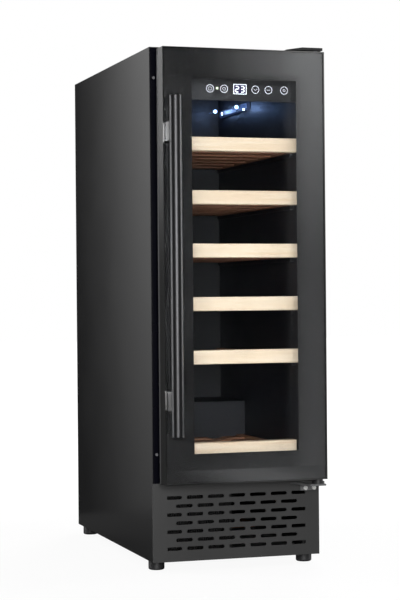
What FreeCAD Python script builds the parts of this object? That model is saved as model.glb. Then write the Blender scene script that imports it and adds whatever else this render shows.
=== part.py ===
import FreeCAD, Part
import math
import os

import Sketcher
from FreeCAD import Placement, Rotation, Vector

# Slim free-standing wine cooler with one glass door hinged on its right side.
#
# Every piece is drawn in the cabinet's own frame: x from the cabinet's middle, positive to
# the right seen from the front; y from the plane of the cabinet's front edge, positive
# towards the back; z up from the floor.  Each piece's Placement then moves it along Y, so
# that the origin of the finished part is under the middle of its outer box.

SIZES = {
    # Cabinet
    "cabinet_width": 295.0,
    "cabinet_depth": 523.0,
    "cabinet_top": 870.0,
    "foot_height": 16.0,
    "sheet_steel": 1.0,
    "flange_depth": 3.0,
    "plinth_top": 147.0,
    "interior_width": 235.0,
    "interior_floor": 186.0,
    "interior_ceiling": 840.0,
    "interior_back": 488.0,
    "liner_wall": 1.0,
    "hump_front": 299.0,
    "hump_top": 261.0,
    "bay_ceiling": 152.0,
    "bay_front": 331.0,
    "bay_rear_ceiling": 230.0,
    "base_pan_wall": 1.5,
    # Feet
    "foot_radius": 13.5,
    "foot_side": 132.0,
    "foot_front": 35.0,
    "foot_rear": 490.0,
    "foot_gap": 0.3,
    "foot_stud_radius": 4.0,
    "foot_stud_length": 22.0,
    "foot_edge": 3.0,
    "stud_clearance": 0.05,
    # Kick grille
    "slot_top_row": 122.4,
    "slot_row_pitch": 14.15,
    "slot_pitch": 37.2,
    "slot_length": 28.9,
    "slot_height": 6.0,
    "slot_field_half": 122.6,
    # Door
    "door_left": 140.2,
    "door_right": 142.3,
    "door_bottom": 148.85,
    "door_top": 864.3,
    "door_front": 53.0,
    "door_back": 18.0,
    "door_skin": 2.0,
    "door_metal_back": 25.0,
    "door_border": 50.0,
    "glass": 4.0,
    "print": 0.3,
    "glass_gap": 12.0,
    "unit_margin": 22.0,
    "frame_clear": 14.0,
    "unit_slack": 0.5,
    "spacer_width": 8.0,
    "gasket_gap": 1.0,
    "gasket_margin": 6.25,
    "gasket_inner_margin": 2.0,
    # Handle
    "handle_x": 129.5,
    "handle_reach": 35.0,
    "handle_radius": 10.0,
    "handle_bottom": 229.6,
    "handle_top": 781.7,
    "handle_end_round": 1.5,
    "post_width": 14.0,
    "post_height": 34.1,
    "post_inset": 39.5,
    "post_round": 3.0,
    # Door hinges
    "pin_x": 130.5,
    "pin_y": 40.0,
    "pin_radius": 4.0,
    "pin_clearance": 0.05,
    "pin_grip": 15.0,
    "bush_radius": 7.0,
    "bush_length": 16.0,
    "bush_pocket": 20.0,
    "skin_hole_radius": 6.0,
    "hinge_plate": 2.5,
    "hinge_left": 111.0,
    "hinge_right": 137.0,
    "hinge_nose": 50.0,
    "hinge_tail": 45.0,
    "nose_top": 869.0,
    "cover_left": 75.0,
    "cover_right": 139.0,
    "cover_shoulder": 103.0,
    "cover_bottom": 866.0,
    "cover_height": 5.5,
    "cover_wall": 1.5,
    "cover_margin": 4.0,
    "cover_room_gap": 0.5,
    "cover_step_gap": 0.6,
    "lower_hinge_left": 113.0,
    "lower_hinge_right": 141.0,
    "lower_hinge_splay": 17.0,
    "lower_hinge_plate": 3.0,
    "lower_hinge_top": 140.5,
    "lower_leg_bottom": 125.5,
    "lower_screw_z": 129.8,
    "lower_screw_left": 121.6,
    "lower_screw_right": 136.8,
    "riser_radius": 10.5,
    "riser_neck": 8.0,
    "riser_step": 4.0,
    "riser_gap": 0.45,
    # Screws
    "screw_head_radius": 3.5,
    "screw_head_height": 2.6,
    "screw_shank_radius": 2.0,
    "screw_shank_length": 12.0,
    "leaf_screw_head": 1.4,
    "leaf_screw_radius": 3.0,
    "leaf_screw_left": 117.0,
    "leaf_screw_right": 131.0,
    "leaf_screw_front": 12.0,
    "leaf_screw_back": 32.0,
    "frame_screw_radius": 2.4,
    "frame_screw_height": 1.4,
    "frame_screw_side": 140.3,
    "frame_screw_high": 819.0,
    "frame_screw_low": 195.4,
    # Shelves
    "shelf_top": 724.0,
    "shelf_pitch": 89.45,
    "shelf_front_width": 231.0,
    "shelf_front_height": 23.6,
    "shelf_front_y": 8.0,
    "shelf_front_thick": 18.0,
    "shelf_front_round": 2.0,
    "rack_back": 420.0,
    "rail_width": 12.0,
    "rail_height": 14.0,
    "slat_thick": 12.0,
    "slat_width": 36.0,
    "slat_first": 44.0,
    "slat_pitch": 66.0,
    "cradle_radius": 40.0,
    "cradle_depth": 4.0,
    "cradle_x": 50.0,
    "runner_gap": 0.4,
    "runner_height": 6.0,
    "runner_width": 8.0,
    "runner_front": 30.0,
    "runner_back": 425.0,
    "low_front_width": 219.0,
    "low_front_top": 211.3,
    "low_front_height": 21.6,
    "low_rack_back": 290.0,
    # Controls and lamp
    "fascia_half": 117.5,
    "fascia_bottom": 784.5,
    "fascia_thick": 4.0,
    "housing_half": 110.0,
    "housing_bottom": 800.0,
    "housing_depth": 110.0,
    "housing_wall": 2.0,
    "display_left": -1.5,
    "display_right": 21.5,
    "display_bottom": 795.7,
    "display_top": 812.4,
    "display_depth": 11.0,
    "display_recess": 0.6,
    "board_front": 13.0,
    "board_thick": 1.6,
    "board_half": 108.0,
    "board_inset": 3.0,
    "lamp_front": 255.0,
    "lamp_length": 160.0,
    "lamp_bottom": 800.0,
    "lamp_height": 13.0,
    "lamp_thick": 6.0,
    "lamp_round": 2.5,
    # Cold side, behind the duct cover
    "duct_front": 440.0,
    "duct_thick": 3.0,
    "duct_half": 117.5,
    "vent_half": 60.0,
    "vent_height": 5.0,
    "vent_pitch": 12.0,
    "vent_low": 285.0,
    "vent_high": 760.0,
    "intake_half": 34.0,
    "evaporator_front": 480.0,
    "evaporator_back": 488.0,
    "evaporator_half": 100.0,
    "evaporator_bottom": 280.0,
    "evaporator_top": 800.0,
    "evaporator_margin": 20.0,
    "evaporator_groove": 6.0,
    "evaporator_groove_depth": 3.0,
    "evaporator_pitch": 24.0,
    "cold_fan_y": 443.0,
    "cold_fan_z": 600.0,
    "cold_fan_size": 92.0,
    "fan_depth": 25.0,
    "fan_rim": 3.0,
    "fan_tip_gap": 1.5,
    "fan_hub": 16.0,
    "fan_hub_depth": 15.0,
    "fan_motor": 12.0,
    "fan_motor_depth": 5.0,
    "fan_shaft": 2.0,
    "fan_strut": 4.0,
    "fan_blade_thick": 1.6,
    "fan_blade_chord": 14.0,
    "fan_hub_front": 3.0,
    # Warm side, in the bay under the floor
    "warm_fan_x": -62.0,
    "warm_fan_y": 95.0,
    "warm_fan_z": 77.5,
    "warm_fan_size": 120.0,
    "coil_left": -125.0,
    "coil_right": 5.0,
    "coil_front": 45.0,
    "coil_back": 95.0,
    "coil_bottom": 17.5,
    "coil_top": 140.0,
    "fin_groove": 2.0,
    "fin_pitch": 4.0,
    "fin_groove_depth": 12.0,
    "compressor_x": 30.0,
    "compressor_y": 430.0,
    "compressor_radius": 68.0,
    "compressor_low": 36.0,
    "compressor_high": 190.0,
    "compressor_dome": 26.0,
    "compressor_neck": 50.0,
    "mount_height": 14.0,
    "mount_radius": 9.0,
    "mount_side": 72.0,
    "mount_reach": 58.0,
    "mount_plate": 3.0,
    "mount_plate_edge": 12.0,
    "relay_left": -66.0,
    "relay_width": 44.0,
    "relay_bottom": 90.0,
    "relay_height": 52.0,
    "tray_left": -35.0,
    "tray_right": 105.0,
    "tray_front": 375.0,
    "tray_back": 490.0,
    "tray_bottom": 198.0,
    "tray_height": 20.0,
    "tray_wall": 2.0,
    "drain_x": 85.0,
    "drain_y": 470.0,
    "drain_radius": 6.0,
    "drain_bore": 4.0,
    "drain_bottom": 208.0,
    "suction_x": -80.0,
    "suction_y": 482.0,
    "suction_bottom": 60.0,
    "pipe_radius": 3.0,
    "pipe_bend": 15.0,
    "hot_pipe_x": 60.0,
    "hot_pipe_y": 70.0,
    "hot_pipe_z": 60.0,
    "inlet_x": -110.0,
    "inlet_z": 62.0,
    "inlet_half_width": 15.0,
    "inlet_half_height": 12.0,
    "inlet_depth": 20.0,
    "inlet_flange": 4.0,
    "inlet_wall": 3.0,
    "inlet_pin_gap": 5.0,
    "inlet_pin_half_width": 1.0,
    "inlet_pin_half_height": 2.5,
    "inlet_pin_spread": 7.0,
    "inlet_pin_rise": 3.0,
    "cover_vent_half": 50.0,
    "cover_vent_first": 90.0,
    "cover_vent_pitch": 14.0,
}

SHELF_COUNT = 5
SLAT_COUNT = 6
LOW_SLAT_COUNT = 4
GRILLE_LONG_ROWS = 4
GRILLE_LONG_SLOTS = 5
GRILLE_SHORT_ROWS = 3
GRILLE_SHORT_SLOTS = 6
FAN_BLADE_COUNT = 7
FAN_BLADE_PITCH_DEG = 35.0
COVER_VENT_ROWS = 9
DUCT_VENT_ROWS = 4
INTAKE_ROWS = 5
EVAPORATOR_GROOVES = 20


class Dim:
    """A length taken or worked out from the sheet: its value and its expression."""

    def __init__(self, value, text):
        self.value = value
        self.text = text

    def joined(self, sign, other, value):
        return Dim(value, f"({self.text} {sign} {as_dim(other).text})")

    def __add__(self, other):
        return self.joined("+", other, self.value + as_dim(other).value)

    def __sub__(self, other):
        return self.joined("-", other, self.value - as_dim(other).value)

    def __mul__(self, other):
        return self.joined("*", other, self.value * as_dim(other).value)

    def __truediv__(self, other):
        return self.joined("/", other, self.value / as_dim(other).value)

    def __neg__(self):
        return Dim(-self.value, f"(0 - {self.text})")


def as_dim(number):
    """A plain number counts as a length too, such as the 2 in a half width."""
    return number if isinstance(number, Dim) else Dim(float(number), str(number))


class Sheet:
    """Reads a size by its alias, as in size.cabinet_width."""

    def __getattr__(self, alias):
        return Dim(SIZES[alias], "Sizes." + alias)


doc = FreeCAD.newDocument("wine_cooler")
sheet = doc.addObject("Spreadsheet::Sheet", "Sizes")
for row, (alias, value) in enumerate(SIZES.items(), start=1):
    sheet.set(f"A{row}", alias)
    sheet.set(f"B{row}", str(value))
    sheet.setAlias(f"B{row}", alias)
doc.recompute()
size = Sheet()
pieces = {}


# ---------------------------------------------------------------- building tools

def both(half):
    """The stretch that reaches as far on each side of the middle."""
    return (-half, as_dim(half))


def around(middle, half):
    return (middle - half, middle + half)


def grow(stretch, by):
    """The same stretch, longer by as much at each end."""
    return (stretch[0] - by, stretch[1] + by)


# The handle's front is the foremost point and the cabinet's rear edge the rearmost one.
foremost = size.door_front + size.handle_reach + size.handle_radius
to_middle = (foremost - size.cabinet_depth) / 2


def keep(name, thing, at=(0, 0, 0)):
    """Names a finished piece and puts it in the part's frame."""
    thing.Label = name
    x, y, z = (as_dim(part) for part in at)
    thing.setExpression("Placement.Base.x", x.text)
    thing.setExpression("Placement.Base.y", (y + to_middle).text)
    thing.setExpression("Placement.Base.z", z.text)
    pieces[name] = thing
    return thing


def tie(sketch, geometry, point, u, v):
    """Holds one point of a sketch at (u, v) from its origin."""
    for kind, dim in (("DistanceX", u), ("DistanceY", v)):
        rule = Sketcher.Constraint(kind, -1, 1, geometry, point, dim.value)
        index = sketch.addConstraint(rule)
        sketch.setExpression(f"Constraints[{index}]", dim.text)


def outline(points):
    """A closed outline of straight sides through points given as pairs of Dims."""
    def draw(sketch):
        first = sketch.GeometryCount
        corners = [Vector(as_dim(u).value, as_dim(v).value, 0) for u, v in points]
        count = len(corners)
        for i in range(count):
            sketch.addGeometry(Part.LineSegment(corners[i], corners[(i + 1) % count]), False)
        for i in range(count):
            after = first + (i + 1) % count
            sketch.addConstraint(Sketcher.Constraint("Coincident", first + i, 2, after, 1))
        for i, (u, v) in enumerate(points):
            tie(sketch, first + i, 1, as_dim(u), as_dim(v))
    return draw


def rectangle(u, v):
    """Four sides held level and upright, tied at the low and the high corner."""
    def draw(sketch):
        first = sketch.GeometryCount
        u0, u1, v0, v1 = (as_dim(d) for d in (*u, *v))
        corners = [Vector(a.value, b.value, 0)
                   for a, b in ((u0, v0), (u1, v0), (u1, v1), (u0, v1))]
        for i in range(4):
            sketch.addGeometry(Part.LineSegment(corners[i], corners[(i + 1) % 4]), False)
        for i in range(4):
            after = first + (i + 1) % 4
            sketch.addConstraint(Sketcher.Constraint("Coincident", first + i, 2, after, 1))
        for i, rule in enumerate(("Horizontal", "Vertical", "Horizontal", "Vertical")):
            sketch.addConstraint(Sketcher.Constraint(rule, first + i))
        tie(sketch, first, 1, u0, v0)
        tie(sketch, first + 2, 1, u1, v1)
    return draw


def circle(u, v, radius):
    def draw(sketch):
        u0, v0 = as_dim(u), as_dim(v)
        centre = Vector(u0.value, v0.value, 0)
        ring = sketch.addGeometry(Part.Circle(centre, Vector(0, 0, 1), radius.value), False)
        tie(sketch, ring, 3, u0, v0)
        index = sketch.addConstraint(Sketcher.Constraint("Radius", ring, radius.value))
        sketch.setExpression(f"Constraints[{index}]", radius.text)
    return draw


def drawn(*shapes):
    """Several outlines in one sketch."""
    def draw(sketch):
        for shape in shapes:
            shape(sketch)
    return draw


# A sketch's normal is -Y on the XZ plane and the plane's own axis on the other two.
NORMAL_SIGN = {"XY_Plane": 1, "XZ_Plane": -1, "YZ_Plane": 1}


class Piece:
    """A PartDesign body, built up feature by feature."""

    def __init__(self, name):
        self.name = name
        self.body = doc.addObject("PartDesign::Body", name)
        self.count = 0

    def origin(self, role):
        return next(f for f in self.body.Origin.OriginFeatures if f.Role == role)

    def feature(self, kind):
        self.count += 1
        return self.body.newObject(kind, f"{self.name}_{self.count}")

    def sketch(self, plane, stretch, draw):
        """A sketch at the end of the stretch that its normal leads away from."""
        sketch = self.feature("Sketcher::SketchObject")
        sketch.AttachmentSupport = (self.origin(plane), [""])
        sketch.MapMode = "FlatFace"
        start = stretch[0] if NORMAL_SIGN[plane] > 0 else -as_dim(stretch[1])
        sketch.setExpression("AttachmentOffset.Base.z", as_dim(start).text)
        draw(sketch)
        return sketch

    def pad(self, plane, stretch, draw):
        stretch = tuple(as_dim(end) for end in stretch)
        pad = self.feature("PartDesign::Pad")
        pad.Profile = self.sketch(plane, stretch, draw)
        pad.setExpression("Length", (stretch[1] - stretch[0]).text)
        self.body.Tip = pad
        self.last = pad
        return self

    def pocket(self, plane, stretch, draw):
        """Cuts along the sketch's normal, and makes sure that something is cut away."""
        stretch = tuple(as_dim(end) for end in stretch)
        doc.recompute()
        before = self.body.Shape.Volume
        pocket = self.feature("PartDesign::Pocket")
        pocket.Profile = self.sketch(plane, stretch, draw)
        pocket.Reversed = True
        pocket.setExpression("Length", (stretch[1] - stretch[0]).text)
        self.body.Tip = pocket
        doc.recompute()
        if self.body.Shape.Volume > before - 1e-3:
            raise RuntimeError(f"{pocket.Name} cuts nothing")
        self.last = pocket
        return self

    def rows(self, axis, length, count, axis2=None, length2=None, count2=1):
        """Repeats the last feature along one axis, or along two."""
        pattern = self.feature("PartDesign::LinearPattern")
        pattern.Originals = [self.last]
        pattern.Direction = (self.origin(axis), [""])
        pattern.setExpression("Length", length.text)
        pattern.Occurrences = count
        if axis2:
            pattern.Direction2 = (self.origin(axis2), [""])
            pattern.setExpression("Length2", length2.text)
            pattern.Occurrences2 = count2
        self.body.Tip = pattern
        return self

    def turns(self, axis, count):
        """Repeats the last feature around an axis of the body."""
        pattern = self.feature("PartDesign::PolarPattern")
        pattern.Originals = [self.last]
        pattern.Axis = (self.origin(axis), [""])
        pattern.Angle = 360
        pattern.Occurrences = count
        self.body.Tip = pattern
        return self

    def round(self, radius, chosen):
        """Fillets the edges for which chosen(edge) is true."""
        doc.recompute()
        edges = self.body.Tip.Shape.Edges
        names = [f"Edge{i}" for i, edge in enumerate(edges, start=1) if chosen(edge)]
        base = self.body.Tip
        fillet = self.feature("PartDesign::Fillet")
        fillet.Base = (base, names)
        fillet.setExpression("Radius", radius.text)
        self.body.Tip = fillet
        return self


def runs_along(edge, axis):
    """True for a straight edge parallel to the axis."""
    if edge.Curve.TypeId != "Part::GeomLine":
        return False
    along = edge.Vertexes[1].Point - edge.Vertexes[0].Point
    return abs(along.normalize().dot(axis)) > 0.999


def at_level(edge, axis, level):
    """True for an edge that lies wholly at one level of the axis."""
    return all(abs(v.Point.dot(axis) - level.value) < 1e-4 for v in edge.Vertexes)


X_AXIS = Vector(1, 0, 0)
Y_AXIS = Vector(0, 1, 0)
Z_AXIS = Vector(0, 0, 1)


def plate(name, x, y, z):
    """A flat rectangular piece."""
    piece = Piece(name).pad("XZ_Plane", y, rectangle(x, z))
    return piece


def ring(name, y, outer_x, outer_z, inner_x, inner_z):
    """A rectangular ring around an opening."""
    piece = plate(name, outer_x, y, outer_z)
    return piece.pocket("XZ_Plane", y, rectangle(inner_x, inner_z))


def box(name, x, y, z):
    solid = doc.addObject("Part::Box", name)
    for prop, axis, side in (("Length", "x", x), ("Width", "y", y), ("Height", "z", z)):
        low, high = as_dim(side[0]), as_dim(side[1])
        solid.setExpression(prop, (high - low).text)
        solid.setExpression("Placement.Base." + axis, low.text)
    return solid


TURN = {"x": Rotation(Y_AXIS, 90), "y": Rotation(X_AXIS, -90), "z": Rotation()}


def cylinder(name, axis, stretch, radius, first, second):
    """A round bar along an axis, with its middle at the two other coordinates in order."""
    solid = doc.addObject("Part::Cylinder", name)
    solid.Placement = Placement(Vector(), TURN[axis])
    solid.setExpression("Radius", radius.text)
    low, high = (as_dim(end) for end in stretch)
    solid.setExpression("Height", (high - low).text)
    places = dict(zip([a for a in "xyz" if a != axis], (as_dim(first), as_dim(second))))
    places[axis] = low
    for direction, place in places.items():
        solid.setExpression("Placement.Base." + direction, place.text)
    return solid


def fuse(name, shapes):
    joined = doc.addObject("Part::MultiFuse", name)
    joined.Shapes = shapes
    return joined


def cut(name, base, tools):
    """The base less the tools."""
    trimmed = doc.addObject("Part::Cut", name)
    trimmed.Base = base
    trimmed.Tool = tools[0] if len(tools) == 1 else fuse(name + "_tools", tools)
    return trimmed


def group(name, shapes):
    """Separate solids that share one node."""
    together = doc.addObject("Part::Compound", name)
    together.Links = shapes
    return together


# ---------------------------------------------------------------- shared places

half_width = size.cabinet_width / 2
inside_shell = half_width - size.sheet_steel
interior_half = size.interior_width / 2
liner_half = interior_half + size.liner_wall
rear_skin = size.cabinet_depth - size.sheet_steel
foam_back = rear_skin - size.sheet_steel
pan_top = size.foot_height + size.base_pan_wall

door_x = (-size.door_left, size.door_right)
door_z = (size.door_bottom, size.door_top)
core_x = grow(door_x, -size.door_skin)
core_z = grow(door_z, -size.door_skin)
window_x = grow(door_x, -size.door_border)
window_z = grow(door_z, -size.door_border)
unit_x = grow(window_x, size.unit_margin)
unit_z = grow(window_z, size.unit_margin)
glass_back = size.glass - size.door_front
print_back = glass_back + size.print
spacer_back = print_back + size.glass_gap
inner_glass_back = spacer_back + size.glass
pin_y = -size.pin_y
hinge_top = size.cabinet_top + size.hinge_plate
cover_top = size.cabinet_top + size.cover_height


# ---------------------------------------------------------------- cabinet

def outer_shell():
    """Painted sheet steel wrapped over the two sides and the top."""
    depth = (0, size.cabinet_depth)
    piece = plate("outer_shell", both(half_width), depth, (size.foot_height, size.cabinet_top))
    below = size.foot_height - size.sheet_steel
    inner_top = size.cabinet_top - size.sheet_steel
    piece.pocket("XZ_Plane", depth, rectangle(both(inside_shell), (below, inner_top)))
    grille_room = rectangle((-size.sheet_steel, size.flange_depth), (below, size.plinth_top))
    piece.pocket("YZ_Plane", both(half_width + size.sheet_steel), grille_room)
    keep("outer_shell", piece.body)


def back_panel():
    piece = plate("back_panel", both(inside_shell), (foam_back, rear_skin),
                  (size.bay_rear_ceiling, size.cabinet_top - size.sheet_steel))
    keep("back_panel", piece.body)


def cavity(wall):
    """The inside's outline in YZ, with the hump over the compressor, and a wall around it."""
    floor = size.interior_floor - wall
    hump_front = size.hump_front + wall
    hump_top = size.hump_top - wall
    back = size.interior_back + wall
    ceiling = size.interior_ceiling + wall
    front = size.flange_depth
    return outline([(front, floor), (hump_front, floor), (hump_front, hump_top),
                    (back, hump_top), (back, ceiling), (front, ceiling)])


def pipe_holes(piece, stretch):
    """The holes for the suction pipe and the drain tube through the hump."""
    suction = circle(size.suction_x, size.suction_y, size.pipe_radius)
    drain = circle(size.drain_x, size.drain_y, size.drain_radius)
    return piece.pocket("XY_Plane", stretch, drawn(suction, drain))


def insulation_foam():
    """Foam that fills the walls, with its underside stepped up over the machine bay."""
    piece = Piece("insulation_foam")
    front = size.flange_depth
    top = size.cabinet_top - size.sheet_steel
    body = outline([(front, size.bay_ceiling), (size.bay_front, size.bay_ceiling),
                    (size.bay_front, size.bay_rear_ceiling), (foam_back, size.bay_rear_ceiling),
                    (foam_back, top), (front, top)])
    piece.pad("YZ_Plane", both(inside_shell), body)
    piece.pocket("YZ_Plane", both(liner_half), cavity(size.liner_wall))
    pipe_holes(piece, (size.bay_rear_ceiling, size.hump_top))
    keep("insulation_foam", piece.body)


def inner_liner():
    """The vacuum-formed plastic lining of the inside."""
    piece = Piece("inner_liner").pad("YZ_Plane", both(liner_half), cavity(size.liner_wall))
    piece.pocket("YZ_Plane", both(interior_half), cavity(as_dim(0)))
    pipe_holes(piece, (size.hump_top - size.liner_wall, size.hump_top))
    keep("inner_liner", piece.body)


def front_frame():
    """The flange around the opening, which the door's gasket seals against."""
    piece = ring("front_frame", (0, size.flange_depth),
                 both(inside_shell), (size.plinth_top, size.cabinet_top - size.sheet_steel),
                 both(interior_half), (size.interior_floor, size.interior_ceiling))
    keep("front_frame", piece.body)


def machine_bay_panel():
    """Sheet steel under the foam: level at the front, stepped up over the compressor."""
    wall = size.sheet_steel
    low, high = size.bay_ceiling, size.bay_rear_ceiling
    front, step, back = size.flange_depth, size.bay_front, foam_back
    strip = outline([(front, low - wall), (step + wall, low - wall), (step + wall, high - wall),
                     (back, high - wall), (back, high), (step, high), (step, low), (front, low)])
    piece = Piece("machine_bay_panel").pad("YZ_Plane", both(inside_shell), strip)
    pipe_holes(piece, (high - wall, high))
    keep("machine_bay_panel", piece.body)


def foot_places():
    """Where each foot stands, by name."""
    sides = {"left": -size.foot_side, "right": size.foot_side}
    ends = {"front": size.foot_front, "rear": size.foot_rear}
    return {f"{end}_{side}": (x, y) for end, y in ends.items() for side, x in sides.items()}


def base_pan():
    """The floor of the machine bay, with a hole for each foot's stud."""
    piece = Piece("base_pan")
    piece.pad("XY_Plane", (size.foot_height, pan_top),
              rectangle(both(inside_shell), (size.flange_depth, foam_back)))
    hole = size.foot_stud_radius + size.stud_clearance
    holes = drawn(*(circle(x, y, hole) for x, y in foot_places().values()))
    piece.pocket("XY_Plane", (size.foot_height, pan_top), holes)
    keep("base_pan", piece.body)


def foot(name, x, y):
    """A levelling foot: a round plastic pad on a stud that screws up into the base."""
    pad_top = size.foot_height - size.foot_gap
    stud_top = pad_top + size.foot_stud_length
    piece = Piece(name)
    piece.pad("XY_Plane", (0, pad_top), circle(0, 0, size.foot_radius))
    piece.round(size.foot_edge, lambda edge: at_level(edge, Z_AXIS, as_dim(0)))
    piece.pad("XY_Plane", (pad_top, stud_top), circle(0, 0, size.foot_stud_radius))
    keep(name, piece.body, (x, y, 0))


def oblong(u, v, length, height):
    """A slot with round ends, held by its two end centres."""
    def draw(sketch):
        radius = height / 2
        left = u - length / 2 + radius
        right = u + length / 2 - radius
        r, y = radius.value, as_dim(v).value
        ends = [Part.Circle(Vector(x.value, y, 0), Z_AXIS, r) for x in (left, right)]
        quarter = math.pi / 2
        first = sketch.GeometryCount
        sketch.addGeometry(Part.ArcOfCircle(ends[0], quarter, 3 * quarter), False)
        sketch.addGeometry(Part.LineSegment(Vector(left.value, y - r, 0),
                                            Vector(right.value, y - r, 0)), False)
        sketch.addGeometry(Part.ArcOfCircle(ends[1], -quarter, quarter), False)
        sketch.addGeometry(Part.LineSegment(Vector(right.value, y + r, 0),
                                            Vector(left.value, y + r, 0)), False)
        joints = ((0, 2, 1, 1), (1, 2, 2, 1), (2, 2, 3, 1), (3, 2, 0, 1))
        for one, end, other, start in joints:
            sketch.addConstraint(
                Sketcher.Constraint("Tangent", first + one, end, first + other, start))
        tie(sketch, first, 3, left, as_dim(v))
        tie(sketch, first + 2, 3, right, as_dim(v))
        index = sketch.addConstraint(Sketcher.Constraint("Radius", first, r))
        sketch.setExpression(f"Constraints[{index}]", radius.text)
    return draw


def end_slot(side, v):
    """The cut-short slot at the end of a long row: round inside, square outside."""
    edge = size.slot_field_half
    inner = size.slot_pitch * 3 - size.slot_length / 2
    radius = size.slot_height / 2
    return drawn(rectangle(sorted_span(side, inner + radius, edge), (v - radius, v + radius)))


def sorted_span(side, low, high):
    """A stretch on the left (side -1) or on the right (side 1), low end first."""
    return (low, high) if side > 0 else (-high, -low)


def kick_grille():
    """The ventilated plinth: rows of five slots and two short ones, and rows of six."""
    depth = (0, size.flange_depth)
    piece = plate("kick_grille", both(half_width), depth, (size.foot_height, size.plinth_top))
    long_rows = -size.slot_row_pitch * (2 * (GRILLE_LONG_ROWS - 1))
    short_rows = -size.slot_row_pitch * (2 * (GRILLE_SHORT_ROWS - 1))
    low_long_row = size.slot_top_row + long_rows
    low_short_row = size.slot_top_row - size.slot_row_pitch + short_rows

    first = -size.slot_pitch * 2
    piece.pocket("XZ_Plane", depth,
                 oblong(first, low_long_row, size.slot_length, size.slot_height))
    piece.rows("X_Axis", size.slot_pitch * (GRILLE_LONG_SLOTS - 1), GRILLE_LONG_SLOTS,
               "Z_Axis", -long_rows, GRILLE_LONG_ROWS)

    first = -size.slot_pitch * 2.5
    piece.pocket("XZ_Plane", depth,
                 oblong(first, low_short_row, size.slot_length, size.slot_height))
    piece.rows("X_Axis", size.slot_pitch * (GRILLE_SHORT_SLOTS - 1), GRILLE_SHORT_SLOTS,
               "Z_Axis", -short_rows, GRILLE_SHORT_ROWS)

    ends = drawn(end_slot(-1, low_long_row), end_slot(1, low_long_row))
    piece.pocket("XZ_Plane", depth, ends)
    piece.rows("Z_Axis", -long_rows, GRILLE_LONG_ROWS)
    inner = size.slot_pitch * 3 - size.slot_length / 2 + size.slot_height / 2
    noses = drawn(circle(-inner, low_long_row, size.slot_height / 2),
                  circle(inner, low_long_row, size.slot_height / 2))
    piece.pocket("XZ_Plane", depth, noses)
    piece.rows("Z_Axis", -long_rows, GRILLE_LONG_ROWS)

    screws = drawn(*(circle(x, size.lower_screw_z, size.screw_shank_radius)
                     for x in (size.lower_screw_left, size.lower_screw_right)))
    piece.pocket("XZ_Plane", depth, screws)
    keep("kick_grille", piece.body)


def rear_cover():
    """The lower rear panel, with air slots and a hole for the mains inlet."""
    depth = (foam_back, rear_skin)
    piece = plate("rear_cover", both(inside_shell), depth, (pan_top, size.bay_rear_ceiling))
    slot = oblong(size.compressor_x, size.cover_vent_first,
                  size.cover_vent_half * 2, size.slot_height)
    piece.pocket("XZ_Plane", depth, slot)
    piece.rows("Z_Axis", size.cover_vent_pitch * (COVER_VENT_ROWS - 1), COVER_VENT_ROWS)
    piece.pocket("XZ_Plane", depth,
                 rectangle(around(size.inlet_x, size.inlet_half_width),
                           around(size.inlet_z, size.inlet_half_height)))
    keep("rear_cover", piece.body)


# ---------------------------------------------------------------- door

def door():
    at_pin = (size.pin_x, pin_y)
    frame = ring("door_frame", (-size.door_front, -size.door_metal_back), door_x, door_z,
                 core_x, core_z)
    frame.pocket("XY_Plane", door_z, circle(*at_pin, size.skin_hole_radius))
    keep("door_frame", frame.body)

    core_depth = (print_back, -size.door_back)
    core = plate("door_inner_frame", door_x, (-size.door_metal_back, -size.door_back), door_z)
    core.pad("XZ_Plane", core_depth, rectangle(core_x, core_z))
    core.pocket("XZ_Plane", core_depth,
                rectangle(grow(window_x, size.frame_clear), grow(window_z, size.frame_clear)))
    core.pocket("XZ_Plane", (print_back, inner_glass_back), rectangle(unit_x, unit_z))
    core.pocket("XY_Plane", (core_z[1] - size.bush_pocket, core_z[1]),
                circle(*at_pin, size.bush_radius))
    core.pocket("XY_Plane", (core_z[0], core_z[0] + size.bush_pocket),
                circle(*at_pin, size.bush_radius))
    keep("door_inner_frame", core.body)

    glass = plate("front_glass", core_x, (-size.door_front, glass_back), core_z)
    keep("front_glass", glass.body)
    border = ring("printed_border", (glass_back, print_back), core_x, core_z, window_x, window_z)
    keep("printed_border", border.body)

    pane_x = grow(unit_x, -size.unit_slack)
    pane_z = grow(unit_z, -size.unit_slack)
    spacer = ring("glass_spacer", (print_back, spacer_back), pane_x, pane_z,
                  grow(pane_x, -size.spacer_width), grow(pane_z, -size.spacer_width))
    keep("glass_spacer", spacer.body)
    pane = plate("inner_glass", pane_x, (spacer_back, inner_glass_back), pane_z)
    keep("inner_glass", pane.body)

    seal = ring("door_gasket", (-size.door_back, -size.gasket_gap),
                grow(door_x, -size.gasket_margin), grow(door_z, -size.gasket_margin),
                both(interior_half + size.gasket_inner_margin),
                (size.interior_floor - size.gasket_inner_margin,
                 size.interior_ceiling + size.gasket_inner_margin))
    keep("door_gasket", seal.body)


def door_bushes():
    """Plastic bushes in the top and bottom of the door, which turn on the hinge pins."""
    bore = size.pin_radius + size.pin_clearance
    places = {"upper": (core_z[1] - size.bush_length, core_z[1]),
              "lower": (core_z[0], core_z[0] + size.bush_length)}
    bushes = []
    for end, stretch in places.items():
        wall = cylinder(f"bush_{end}_wall", "z", stretch, size.bush_radius, size.pin_x, pin_y)
        hole = cylinder(f"bush_{end}_hole", "z", stretch, bore, size.pin_x, pin_y)
        bushes.append(cut(f"bush_{end}", wall, [hole]))
    keep("door_bushes", group("door_bushes", bushes))


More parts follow.
